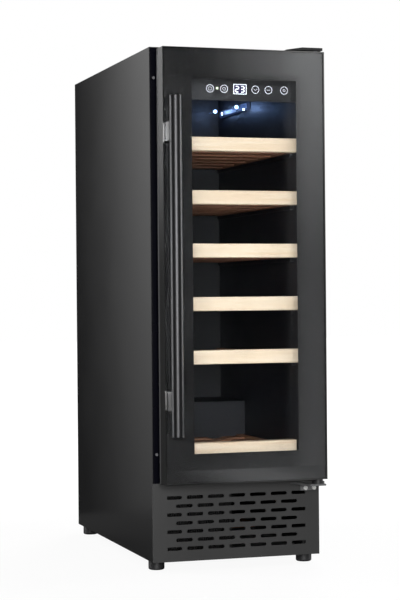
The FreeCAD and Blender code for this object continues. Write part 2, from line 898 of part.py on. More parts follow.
def handle():
    """A round bar on two posts."""
    bar_y = -(size.door_front + size.handle_reach)
    stretch = (size.handle_bottom, size.handle_top)
    bar = Piece("handle_bar")
    bar.pad("XY_Plane", stretch, circle(-size.handle_x, bar_y, size.handle_radius))
    bar.round(size.handle_end_round,
              lambda edge: any(at_level(edge, Z_AXIS, end) for end in stretch))
    keep("handle_bar", bar.body)

    bar_room = cylinder("handle_bar_room", "z", stretch, size.handle_radius,
                        -size.handle_x, bar_y)
    low = size.handle_bottom + size.post_inset
    high = size.handle_top - size.post_inset
    posts = []
    for name, z in (("lower", (low, low + size.post_height)),
                    ("upper", (high - size.post_height, high))):
        post = plate(f"post_{name}", around(-size.handle_x, size.post_width / 2),
                     (bar_y, -size.door_front), z)
        post.round(size.post_round, lambda edge: runs_along(edge, Y_AXIS))
        posts.append(cut(f"post_{name}_on_bar", post.body, [bar_room]))
    keep("handle_posts", group("handle_posts", posts))


# ---------------------------------------------------------------- hinges and screws

def top_hinge_bracket():
    """A leaf on the cabinet's top that steps down to a nose, which carries the upper pin."""
    x = (size.hinge_left, size.hinge_right)
    web_y = (-size.hinge_plate, 0)
    underside = size.nose_top - size.hinge_plate
    leaf = box("top_hinge_leaf", x, (web_y[0], size.hinge_tail), (size.cabinet_top, hinge_top))
    web = box("top_hinge_web", x, web_y, (underside, size.cabinet_top))
    nose = box("top_hinge_nose", x, (-size.hinge_nose, 0), (underside, size.nose_top))
    pin_end = core_z[1] - size.pin_grip
    pin = cylinder("top_hinge_pin", "z", (pin_end, size.nose_top), size.pin_radius,
                   size.pin_x, pin_y)
    keep("top_hinge_bracket", fuse("top_hinge_bracket", [leaf, web, nose, pin]))


def top_hinge_cover():
    """A plastic cap, open below: a low nose with a sloping left shoulder, and a crown."""
    wall, gap = size.cover_wall, size.cover_room_gap
    left, right, low = size.cover_left, size.cover_right, size.cover_bottom
    roof = size.nose_top + wall
    nose_y = (-(size.hinge_nose + size.cover_margin), -size.cover_step_gap)
    back = size.hinge_tail + size.cover_margin
    room_front = -(size.hinge_plate + gap)
    room_x = (size.hinge_left - gap, size.hinge_right + gap)
    room_top = cover_top - wall
    crown_left = room_x[0] - wall
    piece = Piece("top_hinge_cover")
    piece.pad("XZ_Plane", nose_y, outline([(left, low), (right, low), (right, roof),
                                           (size.cover_shoulder, roof)]))
    piece.pad("XZ_Plane", (room_front - wall, back + wall),
              outline([(crown_left, size.cabinet_top), (right, size.cabinet_top),
                       (right, room_top), (right - wall, cover_top),
                       (crown_left + wall, cover_top), (crown_left, room_top)]))
    piece.pocket("XZ_Plane", (nose_y[0] + wall, nose_y[1]),
                 rectangle(room_x, (low - wall, size.nose_top)))
    piece.pocket("XZ_Plane", (room_front, back), rectangle(room_x, (low - wall, room_top)))
    keep("top_hinge_cover", piece.body)


def bottom_hinge_bracket():
    """An angle screwed to the plinth, whose shelf carries the lower pin."""
    top = size.lower_hinge_top
    underside = top - size.lower_hinge_plate
    left, right = x = (size.lower_hinge_left, size.lower_hinge_right)
    shelf = Piece("lower_hinge_shelf")
    shelf.pad("XY_Plane", (underside, top),
              outline([(left - size.lower_hinge_splay, 0), (left, -size.hinge_nose),
                       (right, -size.hinge_nose), (right, 0)]))
    leg = box("lower_hinge_leg", x, (-size.lower_hinge_plate, 0),
              (size.lower_leg_bottom, underside))
    pin_end = core_z[0] + size.pin_grip
    pin = cylinder("lower_hinge_pin", "z", (underside, pin_end), size.pin_radius,
                   size.pin_x, pin_y)
    whole = fuse("lower_hinge_blank", [shelf.body, leg, pin])
    holes = [cylinder(f"lower_hinge_hole_{i}", "y", (-size.lower_hinge_plate, 0),
                      size.screw_shank_radius, x, size.lower_screw_z)
             for i, x in enumerate((size.lower_screw_left, size.lower_screw_right))]
    keep("bottom_hinge_bracket", cut("bottom_hinge_bracket", whole, holes))


def hinge_riser():
    """A stepped plastic collar on the lower pin, which the door's underside runs on."""
    top = size.door_bottom - size.riser_gap
    step = size.lower_hinge_top + size.riser_step
    at = (size.pin_x, pin_y)
    foot_ring = cylinder("riser_foot", "z", (size.lower_hinge_top, step), size.riser_radius, *at)
    neck = cylinder("riser_neck", "z", (step, top), size.riser_neck, *at)
    bore = cylinder("riser_bore", "z", (size.lower_hinge_top, top), size.pin_radius, *at)
    keep("hinge_riser", cut("hinge_riser", fuse("riser_blank", [foot_ring, neck]), [bore]))


def bolt(name, x, z):
    """A pan-head bolt through the lower hinge's leg and the plinth."""
    face = -size.lower_hinge_plate
    head = cylinder(name + "_head", "y", (face - size.screw_head_height, face),
                    size.screw_head_radius, x, z)
    shank = cylinder(name + "_shank", "y", (face, face + size.screw_shank_length),
                     size.screw_shank_radius, x, z)
    return fuse(name, [head, shank])


def cabinet_screws():
    """The two bolts of the lower hinge, three in the upper one, and four in the flange."""
    screws = [bolt("bolt_left", size.lower_screw_left, size.lower_screw_z),
              bolt("bolt_right", size.lower_screw_right, size.lower_screw_z)]
    leaf_places = ((size.leaf_screw_left, size.leaf_screw_front),
                   (size.leaf_screw_right, size.leaf_screw_front),
                   ((size.leaf_screw_left + size.leaf_screw_right) / 2, size.leaf_screw_back))
    for i, (x, y) in enumerate(leaf_places):
        screws.append(cylinder(f"leaf_screw_{i}", "z", (hinge_top, hinge_top + size.leaf_screw_head),
                               size.leaf_screw_radius, x, y))
    for side in (-1, 1):
        for name, z in (("high", size.frame_screw_high), ("low", size.frame_screw_low)):
            screws.append(cylinder(f"flange_screw_{name}_{side + 1}", "y",
                                   (-size.frame_screw_height, 0), size.frame_screw_radius,
                                   size.frame_screw_side * side, z))
    keep("cabinet_screws", group("cabinet_screws", screws))


# ---------------------------------------------------------------- shelves

def shelf_front(name, half, top, height):
    """The wooden front rail of a shelf, with its long front edges rounded."""
    y = (size.shelf_front_y, size.shelf_front_y + size.shelf_front_thick)
    piece = plate(name, both(half), y, (top - height, top))
    piece.round(size.shelf_front_round,
                lambda edge: runs_along(edge, X_AXIS) and at_level(edge, Y_AXIS, y[0]))
    keep(name, piece.body)


def rack(name, half, top, back, slats):
    """Two side rails and cross slats, each slat cradled for two bottles."""
    front = size.shelf_front_y + size.shelf_front_thick
    bottom = top - size.shelf_front_height
    slat_top = bottom + size.slat_thick
    inner = half - size.rail_width
    rails = [box(f"{name}_rail_{i}", x, (front, back), (bottom, bottom + size.rail_height))
             for i, x in enumerate(((-half, -inner), (inner, half)))]
    bars = []
    for i in range(slats):
        y = size.slat_first + size.slat_pitch * i
        bars.append(box(f"{name}_slat_{i}", both(inner), (y, y + size.slat_width),
                        (bottom, slat_top)))
    cradles = [cylinder(f"{name}_cradle_{i}", "y", (front, back), size.cradle_radius,
                        size.cradle_x * side,
                        slat_top - size.cradle_depth + size.cradle_radius)
               for i, side in enumerate((-1, 1))]
    cradled = cut(f"{name}_cradled", fuse(f"{name}_bars", bars), cradles)
    keep(name, fuse(name, rails + [cradled]))


def shelf_tops():
    return [size.shelf_top - size.shelf_pitch * i for i in range(SHELF_COUNT)]


def shelves():
    half = size.shelf_front_width / 2
    for number, top in enumerate(shelf_tops(), start=1):
        shelf_front(f"shelf_{number}_front", half, top, size.shelf_front_height)
        rack(f"shelf_{number}_rack", half, top, size.rack_back, SLAT_COUNT)


def bottom_rack():
    """The fixed rack on the floor of the inside."""
    half = size.low_front_width / 2
    shelf_front("bottom_rack_front", half, size.low_front_top, size.low_front_height)
    top = size.interior_floor + size.shelf_front_height
    rack("bottom_rack", half, top, size.low_rack_back, LOW_SLAT_COUNT)


def shelf_runners():
    """Ledges on both walls, one pair under each sliding shelf."""
    ledges = []
    for number, top in enumerate(shelf_tops(), start=1):
        ledge_top = top - size.shelf_front_height - size.runner_gap
        z = (ledge_top - size.runner_height, ledge_top)
        inner = interior_half - size.runner_width
        for side, x in (("left", (-interior_half, -inner)), ("right", (inner, interior_half))):
            ledges.append(box(f"runner_{number}_{side}", x,
                              (size.runner_front, size.runner_back), z))
    keep("shelf_runners", group("shelf_runners", ledges))


# ---------------------------------------------------------------- controls and lamp

def controls():
    display_x = (size.display_left, size.display_right)
    display_z = (size.display_bottom, size.display_top)
    fascia_y = (0, size.fascia_thick)
    fascia = plate("control_fascia", both(size.fascia_half), fascia_y,
                   (size.fascia_bottom, size.interior_ceiling))
    fascia.pocket("XZ_Plane", fascia_y, rectangle(display_x, display_z))
    keep("control_fascia", fascia.body)

    housing_y = (size.fascia_thick, size.housing_depth)
    housing_z = (size.housing_bottom, size.interior_ceiling)
    wall = size.housing_wall
    housing = plate("control_housing", both(size.housing_half), housing_y, housing_z)
    room_z = (size.housing_bottom + wall, size.interior_ceiling)
    housing.pocket("XZ_Plane", (size.fascia_thick, size.housing_depth - wall),
                   rectangle(both(size.housing_half - wall), room_z))
    housing.pocket("XZ_Plane", (size.fascia_thick, size.display_depth),
                   rectangle(display_x, (size.housing_bottom, size.housing_bottom + wall)))
    keep("control_housing", housing.body)

    module = plate("display_module", display_x, (size.display_recess, size.display_depth),
                   display_z)
    keep("display_module", module.body)
    board = plate("control_board", both(size.board_half),
                  (size.board_front, size.board_front + size.board_thick),
                  (size.housing_bottom + size.board_inset,
                   size.interior_ceiling - size.board_inset))
    keep("control_board", board.body)


def interior_lamp():
    """A shallow light strip high on the right wall."""
    face = interior_half - size.lamp_thick
    y = (size.lamp_front, size.lamp_front + size.lamp_length)
    z = (size.lamp_bottom, size.lamp_bottom + size.lamp_height)
    piece = plate("interior_lamp", (face, interior_half), y, z)
    piece.round(size.lamp_round, lambda edge: at_level(edge, X_AXIS, face))
    keep("interior_lamp", piece.body)


# ---------------------------------------------------------------- cold side

def rear_duct_cover():
    """The panel in front of the evaporator, with supply, return and fan slots."""
    depth = (size.duct_front, size.duct_front + size.duct_thick)
    piece = plate("rear_duct_cover", both(size.duct_half), depth,
                  (size.hump_top, size.interior_ceiling))
    intake_low = size.cold_fan_z - size.vent_pitch * ((INTAKE_ROWS - 1) / 2)
    for start, half, count in ((size.vent_low, size.vent_half, DUCT_VENT_ROWS),
                               (size.vent_high, size.vent_half, DUCT_VENT_ROWS),
                               (intake_low, size.intake_half, INTAKE_ROWS)):
        piece.pocket("XZ_Plane", depth,
                     oblong(as_dim(0), start, half * 2, size.vent_height))
        piece.rows("Z_Axis", size.vent_pitch * (count - 1), count)
    keep("rear_duct_cover", piece.body)


def evaporator_plate():
    """The cold plate, with the valleys between its refrigerant channels."""
    front, back = size.evaporator_front, size.evaporator_back
    bottom, margin = size.evaporator_bottom, size.evaporator_margin
    piece = plate("evaporator_plate", both(size.evaporator_half), (front, back),
                  (bottom, size.evaporator_top))
    valley = rectangle(both(size.evaporator_half - margin / 2),
                       (bottom + margin, bottom + margin + size.evaporator_groove))
    piece.pocket("XZ_Plane", (front, front + size.evaporator_groove_depth), valley)
    piece.rows("Z_Axis", size.evaporator_pitch * (EVAPORATOR_GROOVES - 1), EVAPORATOR_GROOVES)
    keep("evaporator_plate", piece.body)


def fan_frame(name, side, at):
    """A square fan housing around a round duct, with the motor on crossed struts.

    It is drawn around its own axle, which runs along Y from the front face of the fan.
    """
    depth = (0, size.fan_depth)
    half = side / 2
    back = size.fan_depth
    struts = (back - size.fan_motor_depth + 1, back)
    tunnel = half - size.fan_rim
    piece = plate(name + "_tunnel", both(half), depth, both(half))
    piece.pocket("XZ_Plane", depth, circle(0, 0, tunnel))
    reach = tunnel + size.fan_rim / 2
    bars = [box(name + "_strut_x", both(reach), struts, both(size.fan_strut / 2)),
            box(name + "_strut_z", both(size.fan_strut / 2), struts, both(reach))]
    motor = cylinder(name + "_motor", "y", (back - size.fan_motor_depth, back),
                     size.fan_motor, 0, 0)
    shaft = cylinder(name + "_shaft", "y", (size.fan_motor_depth * 2, back - size.fan_motor_depth),
                     size.fan_shaft, 0, 0)
    keep(name, fuse(name, [piece.body, *bars, motor, shaft]), at)


def fan_blades(name, side, at):
    """The fan's rotor: a hub with a blind bore for the shaft, and pitched blades."""
    hub_y = (size.fan_hub_front, size.fan_hub_front + size.fan_hub_depth)
    piece = Piece(name)
    piece.pad("XZ_Plane", hub_y, circle(0, 0, size.fan_hub))
    tip = side / 2 - size.fan_rim - size.fan_tip_gap
    turn = math.radians(FAN_BLADE_PITCH_DEG)
    across = Vector(math.cos(turn), math.sin(turn), 0)
    thick = Vector(-math.sin(turn), math.cos(turn), 0)
    middle_y = size.fan_hub_front + size.fan_hub_depth / 2
    chord, wall = size.fan_blade_chord / 2, size.fan_blade_thick / 2
    corners = []
    for i, j in ((-1, -1), (1, -1), (1, 1), (-1, 1)):
        u = chord * (across.x * i) + wall * (thick.x * j)
        v = chord * (across.y * i) + wall * (thick.y * j)
        corners.append((u, middle_y + v))
    piece.pad("XY_Plane", (size.fan_hub - size.fan_blade_thick, tip), outline(corners))
    piece.turns("Y_Axis", FAN_BLADE_COUNT)
    bore = size.fan_shaft + size.pin_clearance
    shaft_tip = size.fan_motor_depth * 2
    piece.pocket("XZ_Plane", (shaft_tip - size.fan_blade_thick / 2, hub_y[1]),
                 circle(0, 0, bore))
    keep(name, piece.body, at)


def fans():
    cold = (0, size.cold_fan_y, size.cold_fan_z)
    fan_frame("circulation_fan_frame", size.cold_fan_size, cold)
    fan_blades("circulation_fan_blades", size.cold_fan_size, cold)
    warm = (size.warm_fan_x, size.warm_fan_y, size.warm_fan_z)
    fan_frame("condenser_fan_frame", size.warm_fan_size, warm)
    fan_blades("condenser_fan_blades", size.warm_fan_size, warm)


# ---------------------------------------------------------------- machine bay

def condenser_coil():
    """A finned block with grooves down its front and back faces."""
    x = (size.coil_left, size.coil_right)
    piece = plate("condenser_coil", x, (size.coil_front, size.coil_back),
                  (size.coil_bottom, size.coil_top))
    width = size.coil_right - size.coil_left
    first = size.coil_left + size.fin_pitch
    count = int(width.value / size.fin_pitch.value) - 1
    groove = rectangle((first, first + size.fin_groove), (size.coil_bottom, size.coil_top))
    for y in ((size.coil_front, size.coil_front + size.fin_groove_depth),
              (size.coil_back - size.fin_groove_depth, size.coil_back)):
        piece.pocket("XZ_Plane", y, groove)
        piece.rows("X_Axis", size.fin_pitch * (count - 1), count)
    keep("condenser_coil", piece.body)


def compressor():
    """The hermetic can, domed at both ends, welded to its foot plate."""
    r = size.compressor_radius
    at = (size.compressor_x, size.compressor_y)
    can = cylinder("compressor_can", "z", (size.compressor_low, size.compressor_high), r, *at)
    rounded = doc.addObject("Part::Fillet", "compressor_domed")
    rounded.Base = can
    doc.recompute()
    rims = [i for i, edge in enumerate(can.Shape.Edges, start=1)
            if edge.Curve.TypeId == "Part::GeomCircle"]
    dome = SIZES["compressor_dome"]
    rounded.Edges = [(i, dome, dome) for i in rims]
    plate_low = pan_top + size.mount_height
    foot_plate = box("compressor_foot_plate",
                     around(at[0], size.mount_side + size.mount_plate_edge),
                     around(at[1], size.mount_reach + size.mount_plate_edge),
                     (plate_low, plate_low + size.mount_plate))
    neck = cylinder("compressor_neck", "z", (plate_low, size.compressor_neck), r / 2, *at)
    keep("compressor", fuse("compressor", [rounded, foot_plate, neck]))

    mounts = []
    for i, (side, reach) in enumerate(((-1, -1), (1, -1), (1, 1), (-1, 1))):
        mounts.append(cylinder(f"compressor_mount_{i}", "z", (pan_top, plate_low),
                               size.mount_radius, at[0] + size.mount_side * side,
                               at[1] + size.mount_reach * reach))
    keep("compressor_mounts", group("compressor_mounts", mounts))

    relay = box("relay_blank", (size.relay_left, size.compressor_x - r / 2),
                around(at[1], size.relay_width / 2),
                (size.relay_bottom, size.relay_bottom + size.relay_height))
    can_room = cylinder("relay_can_room", "z", (size.compressor_low, size.compressor_high),
                        r, *at)
    keep("relay_box", cut("relay_box", relay, [can_room]))


def drip_tray():
    """The tray over the compressor that catches and evaporates the condensate."""
    x = (size.tray_left, size.tray_right)
    y = (size.tray_front, size.tray_back)
    z = (size.tray_bottom, size.tray_bottom + size.tray_height)
    wall = size.tray_wall
    piece = plate("drip_tray", x, y, z)
    piece.pocket("XY_Plane", (z[0] + wall, z[1]), rectangle(grow(x, -wall), grow(y, -wall)))
    keep("drip_tray", piece.body)


def drain_tube():
    at = (size.drain_x, size.drain_y)
    stretch = (size.drain_bottom, size.hump_top)
    wall = cylinder("drain_wall", "z", stretch, size.drain_radius, *at)
    bore = cylinder("drain_bore", "z", stretch, size.drain_bore, *at)
    keep("drain_tube", cut("drain_tube", wall, [bore]))


def bent_pipe(name, plane, level, points, start_plane, start):
    """A pipe of two straight runs and the arc between them, swept along its sketch."""
    piece = Piece(name)
    (u0, v0), (u1, v1), (u2, v2) = points
    into = Vector(u1.value - u0.value, v1.value - v0.value, 0).normalize()
    out = Vector(u2.value - u1.value, v2.value - v1.value, 0).normalize()
    bend = size.pipe_bend
    arc_start = (u1 - bend * into.x, v1 - bend * into.y)
    arc_end = (u1 + bend * out.x, v1 + bend * out.y)
    centre = (arc_start[0] + bend * out.x, arc_start[1] + bend * out.y)
    middle = tuple(centre[i].value + bend.value * (-out[i] + into[i]) / math.sqrt(2)
                   for i in (0, 1))

    def path(sketch):
        points_2d = [Vector(u.value, v.value, 0)
                     for u, v in ((u0, v0), arc_start, arc_end, (u2, v2))]
        sketch.addGeometry(Part.LineSegment(points_2d[0], points_2d[1]), False)
        arc = Part.Arc(points_2d[1], Vector(*middle, 0), points_2d[2])
        sketch.addGeometry(arc, False)
        sketch.addGeometry(Part.LineSegment(points_2d[2], points_2d[3]), False)

    spine = piece.sketch(plane, (level, level), path)
    profile = piece.sketch(start_plane, (start[2], start[2]),
                           circle(start[0], start[1], size.pipe_radius))
    doc.recompute()
    pipe = piece.feature("PartDesign::AdditivePipe")
    pipe.Profile = profile
    pipe.Spine = (spine, ["Edge1", "Edge2", "Edge3"])
    piece.body.Tip = pipe
    return piece.body


def refrigerant_pipes():
    """The hot line from the compressor to the condenser, and the suction line."""
    can_front = size.compressor_y - size.compressor_radius * math.sqrt(
        1 - ((SIZES["hot_pipe_x"] - SIZES["compressor_x"]) / SIZES["compressor_radius"]) ** 2)
    hot = bent_pipe("hot_pipe", "XY_Plane", size.hot_pipe_z,
                    [(size.hot_pipe_x, can_front), (size.hot_pipe_x, size.hot_pipe_y),
                     (size.coil_right, size.hot_pipe_y)],
                    "XZ_Plane", (size.hot_pipe_x, size.hot_pipe_z, can_front))
    can_left = size.compressor_x - size.compressor_radius * math.sqrt(
        1 - ((SIZES["suction_y"] - SIZES["compressor_y"]) / SIZES["compressor_radius"]) ** 2)
    cold = bent_pipe("suction_pipe", "XZ_Plane", size.suction_y,
                     [(size.suction_x, size.evaporator_bottom),
                      (size.suction_x, size.suction_bottom), (can_left, size.suction_bottom)],
                     "XY_Plane", (size.suction_x, size.suction_y, size.evaporator_bottom))
    both_pipes = group("both_pipes", [hot, cold])
    can = doc.getObject("compressor_domed")
    keep("refrigerant_pipes", cut("refrigerant_pipes", both_pipes, [can]))


def power_inlet():
    """A flush mains inlet with three contact pins in its recess."""
    x, z = size.inlet_x, size.inlet_z
    width, height = size.inlet_half_width, size.inlet_half_height
    front = rear_skin - size.inlet_depth
    piece = plate("power_inlet", around(x, width), (front, rear_skin), around(z, height))
    piece.pad("XZ_Plane", (rear_skin, size.cabinet_depth),
              rectangle(around(x, width + size.inlet_flange), around(z, height + size.inlet_flange)))
    wall = size.inlet_wall
    piece.pocket("XZ_Plane", (front + wall, size.cabinet_depth),
                 rectangle(around(x, width - wall), around(z, height - wall)))
    spread, rise = size.inlet_pin_spread, size.inlet_pin_rise
    places = ((x - spread, z - rise), (x, z + rise), (x + spread, z - rise))
    pins = drawn(*(rectangle(around(u, size.inlet_pin_half_width),
                             around(v, size.inlet_pin_half_height)) for u, v in places))
    piece.pad("XZ_Plane", (front + wall, rear_skin - size.inlet_pin_gap), pins)
    keep("power_inlet", piece.body)


# ---------------------------------------------------------------- the whole cooler

def build():
    outer_shell()
    back_panel()
    insulation_foam()
    inner_liner()
    front_frame()
    machine_bay_panel()
    base_pan()
    for name, (x, y) in foot_places().items():
        foot(f"foot_{name}", x, y)
    kick_grille()
    rear_cover()
    door()
    door_bushes()
    handle()
    top_hinge_bracket()
    top_hinge_cover()
    bottom_hinge_bracket()
    hinge_riser()
    cabinet_screws()
    shelves()
    bottom_rack()
    shelf_runners()
    controls()
    interior_lamp()
    rear_duct_cover()
    evaporator_plate()
    fans()
    condenser_coil()
    compressor()
    drip_tray()
    drain_tube()
    refrigerant_pipes()
    power_inlet()
    doc.recompute()


def check():
    """Stops before anything is written if a feature failed or a piece isn't sound."""
    for thing in doc.Objects:
        if {"Invalid", "Error"} & set(thing.State):
            raise RuntimeError(f"{thing.Name} failed: {thing.State}")
    for name, thing in pieces.items():
        shape = thing.Shape
        if shape.isNull() or not shape.isValid() or not shape.Solids:
            raise RuntimeError(f"{name} has no sound shape")


def write():
    os.makedirs("parts", exist_ok=True)
    for name, thing in pieces.items():
        thing.Shape.exportStep(os.path.join("parts", name + ".step"))


build()
check()
write()
print(f"{len(pieces)} pieces written")
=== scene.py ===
import math

import bpy
from mathutils import Matrix, Vector

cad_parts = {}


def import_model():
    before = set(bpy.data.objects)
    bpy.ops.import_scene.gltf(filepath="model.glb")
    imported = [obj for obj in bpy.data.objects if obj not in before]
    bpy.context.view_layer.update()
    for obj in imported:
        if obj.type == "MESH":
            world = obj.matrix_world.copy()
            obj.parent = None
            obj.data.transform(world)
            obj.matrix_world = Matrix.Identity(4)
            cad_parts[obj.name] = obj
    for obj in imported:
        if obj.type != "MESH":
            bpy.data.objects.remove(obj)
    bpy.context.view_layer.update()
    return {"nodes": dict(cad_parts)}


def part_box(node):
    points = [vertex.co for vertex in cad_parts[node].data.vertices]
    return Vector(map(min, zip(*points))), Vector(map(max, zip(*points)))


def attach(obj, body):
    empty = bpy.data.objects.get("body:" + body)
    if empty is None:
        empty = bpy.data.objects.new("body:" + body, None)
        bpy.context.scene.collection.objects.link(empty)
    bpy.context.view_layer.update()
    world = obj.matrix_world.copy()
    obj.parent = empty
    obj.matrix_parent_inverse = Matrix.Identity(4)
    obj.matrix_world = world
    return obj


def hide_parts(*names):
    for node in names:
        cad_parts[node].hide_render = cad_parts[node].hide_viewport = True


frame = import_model()
NODES = frame["nodes"]

# Lengths are in metres, in the part's frame: +X to the right, -Y out of the door, +Z up.
MM = 0.001


# ------------------------------------------------------------------ material building

# A noise value mostly lies in this range.
NOISE_RANGE = (0.3, 0.7)

# How close together the broad, faint clouds on paint are.
BROAD_SCALE = 9.0


class Nodes:
    """The node tree of a material or a world, with short calls for what is used often."""

    def __init__(self, owner):
        owner.use_nodes = True
        self.tree = owner.node_tree
        self.tree.nodes.clear()

    def add(self, kind, **settings):
        node = self.tree.nodes.new(kind)
        for name, value in settings.items():
            setattr(node, name, value)
        return node

    def wire(self, source, target):
        self.tree.links.new(source, target)

    def map_range(self, value, start, end, low, high, **settings):
        """Takes start..end to low..high."""
        node = self.add("ShaderNodeMapRange", **settings)
        for socket, number in (("From Min", start), ("From Max", end),
                               ("To Min", low), ("To Max", high)):
            node.inputs[socket].default_value = number
        self.wire(value, node.inputs["Value"])
        return node.outputs["Result"]

    def glide(self, value, start, end, low=0.0, high=1.0):
        """A smooth step from low to high as the value goes from start to end."""
        return self.map_range(value, start, end, low, high, interpolation_type="SMOOTHSTEP")

    def calculate(self, operation, first, second):
        """First and second are outputs or plain numbers."""
        node = self.add("ShaderNodeMath", operation=operation)
        for socket, value in zip(node.inputs, (first, second)):
            if isinstance(value, float):
                socket.default_value = value
            else:
                self.wire(value, socket)
        return node.outputs["Value"]

    def apart(self, vector):
        """A vector's three numbers."""
        node = self.add("ShaderNodeSeparateXYZ")
        self.wire(vector, node.inputs["Vector"])
        return node.outputs["X"], node.outputs["Y"], node.outputs["Z"]

    def mixed(self, factor, first, second):
        """The first shader where the factor is 0, the second where it is 1."""
        node = self.add("ShaderNodeMixShader")
        for socket, source in zip(node.inputs, (factor, first, second)):
            self.wire(source, socket)
        return node.outputs["Shader"]


class Shader(Nodes):
    """One material's nodes, with a Principled shader and short calls for its inputs."""

    def __init__(self, name):
        self.material = bpy.data.materials.new(name)
        super().__init__(self.material)
        self.output = self.add("ShaderNodeOutputMaterial")
        self.skin = self.add("ShaderNodeBsdfPrincipled")
        self.wire(self.skin.outputs["BSDF"], self.output.inputs["Surface"])
        self.place = self.add("ShaderNodeTexCoord").outputs["Object"]

    def set(self, **sockets):
        """Plain numbers and colours, the same all over, straight on the shader."""
        for name, value in sockets.items():
            socket = self.skin.inputs[name.replace("_", " ")]
            if isinstance(value, tuple) and len(value) == 3:
                value = (*value, 1.0)
            socket.default_value = value
        return self

    def stretched(self, scale):
        """Object coordinates scaled by three numbers."""
        mapping = self.add("ShaderNodeMapping")
        mapping.inputs["Scale"].default_value = scale
        self.wire(self.place, mapping.inputs["Vector"])
        return mapping.outputs["Vector"]

    def noise(self, scale, detail=3.0, roughness=0.5, at=None):
        node = self.add("ShaderNodeTexNoise")
        node.inputs["Scale"].default_value = scale
        node.inputs["Detail"].default_value = detail
        node.inputs["Roughness"].default_value = roughness
        self.wire(at or self.place, node.inputs["Vector"])
        return node.outputs["Fac"]

    def ramp(self, value, stops):
        """A colour ramp: stops are (position, colour or grey level)."""
        node = self.add("ShaderNodeValToRGB")
        points = node.color_ramp.elements
        while len(points) < len(stops):
            points.new(0.5)
        for point, (position, colour) in zip(points, stops):
            point.position = position
            colour = grey(colour) if isinstance(colour, float) else colour
            point.color = (*colour, 1.0)
        self.wire(value, node.inputs["Fac"])
        return node.outputs["Color"]

    def spread(self, value, low, high):
        """Takes a noise value's usual range to low..high."""
        return self.map_range(value, *NOISE_RANGE, low, high)

    def tone(self, value, stops):
        self.wire(self.ramp(value, stops), self.skin.inputs["Base Color"])
        return self

    def vary(self, value, colour, darkest, lightest):
        """The colour, made darker and lighter by a noise value."""
        low, high = NOISE_RANGE
        return self.tone(value, [(low, tinted(colour, darkest)), (high, tinted(colour, lightest))])

    def rough(self, value, low, high):
        self.wire(self.spread(value, low, high), self.skin.inputs["Roughness"])
        return self

    def bump(self, value, height, strength=1.0):
        node = self.add("ShaderNodeBump")
        node.inputs["Strength"].default_value = strength
        node.inputs["Distance"].default_value = height
        self.wire(value, node.inputs["Height"])
        self.wire(node.outputs["Normal"], self.skin.inputs["Normal"])
        return self


def grey(level):
    return (level, level, level)


def tinted(colour, factor):
    return tuple(min(part * factor, 1.0) for part in colour)


def painted(name, colour, roughness, peel=0.04 * MM, ior=1.5):
    """Powder-coated steel: a fine orange peel and slightly uneven gloss."""
    shader = Shader(name).set(Metallic=0.0, IOR=ior)
    fine = shader.noise(900.0, 2.0)
    broad = shader.noise(BROAD_SCALE, 2.0)
    shader.vary(broad, colour, 0.94, 1.06)
    shader.rough(broad, roughness - 0.02, roughness + 0.03)
    return shader.bump(fine, peel, 0.5).material


def plastic(name, colour, roughness, ior=1.47):
    """Moulded plastic with a fine spark-eroded grain."""
    shader = Shader(name).set(IOR=ior)
    fine = shader.noise(1400.0, 3.0)
    broad = shader.noise(14.0, 2.0)
    shader.vary(broad, colour, 0.9, 1.1)
    shader.rough(broad, roughness - 0.04, roughness + 0.05)
    return shader.bump(fine, 0.05 * MM, 0.5).material


def metal(name, colour, roughness, along=(1.0, 1.0, 1.0), grain=600.0, shine=1.0):
    """Bare or anodised metal, brushed along the axis whose scale is small."""
    shader = Shader(name).set(Metallic=shine)
    lines = shader.noise(grain, 3.0, 0.6, shader.stretched(along))
    shader.vary(lines, colour, 0.9, 1.08)
    shader.rough(lines, roughness - 0.03, roughness + 0.05)
    return shader.bump(lines, 0.02 * MM, 0.4).material


def screw_metal():
    """Zinc plating, bright on the hinge's bolts at the right; darkened to the left as painted
    shade on the flange's screws under the door.
    """
    shader = Shader("zinc_screw").set(Metallic=0.3)
    x, _, _ = shader.apart(shader.place)
    # Painted shade: the screws towards the left, on the flange under the door, are given a dark
    # grey in place of the zinc's own brightness.
    out_of_painted_shade = shader.glide(x, -20.0 * MM, 20.0 * MM)
    shader.tone(out_of_painted_shade, [(0.0, (0.16, 0.16, 0.17)), (1.0, (0.92, 0.92, 0.9))])
    scratches = shader.noise(900.0, 3.0)
    shader.rough(scratches, 0.30, 0.40)
    return shader.bump(scratches, 0.02 * MM, 0.4).material


def door_frame_paint():
    """Matt black on the frame's sides, and a gloss like the glass on its front lip."""
    shader = Shader("door_side_paint").set(IOR=1.03)
    normal = shader.add("ShaderNodeTexCoord").outputs["Normal"]
    _, facing, _ = shader.apart(normal)
    lip = shader.glide(facing, -0.6, -0.9)
    shader.wire(lip, shader.skin.inputs["Metallic"])
    shader.tone(lip, [(0.0, grey(0.022)), (1.0, grey(0.27))])
    side_roughness = shader.spread(shader.noise(BROAD_SCALE, 2.0), 0.26, 0.31)
    smoother = shader.calculate("MULTIPLY", lip, -0.15)
    shader.wire(shader.calculate("ADD", side_roughness, smoother),
                shader.skin.inputs["Roughness"])
    return shader.material


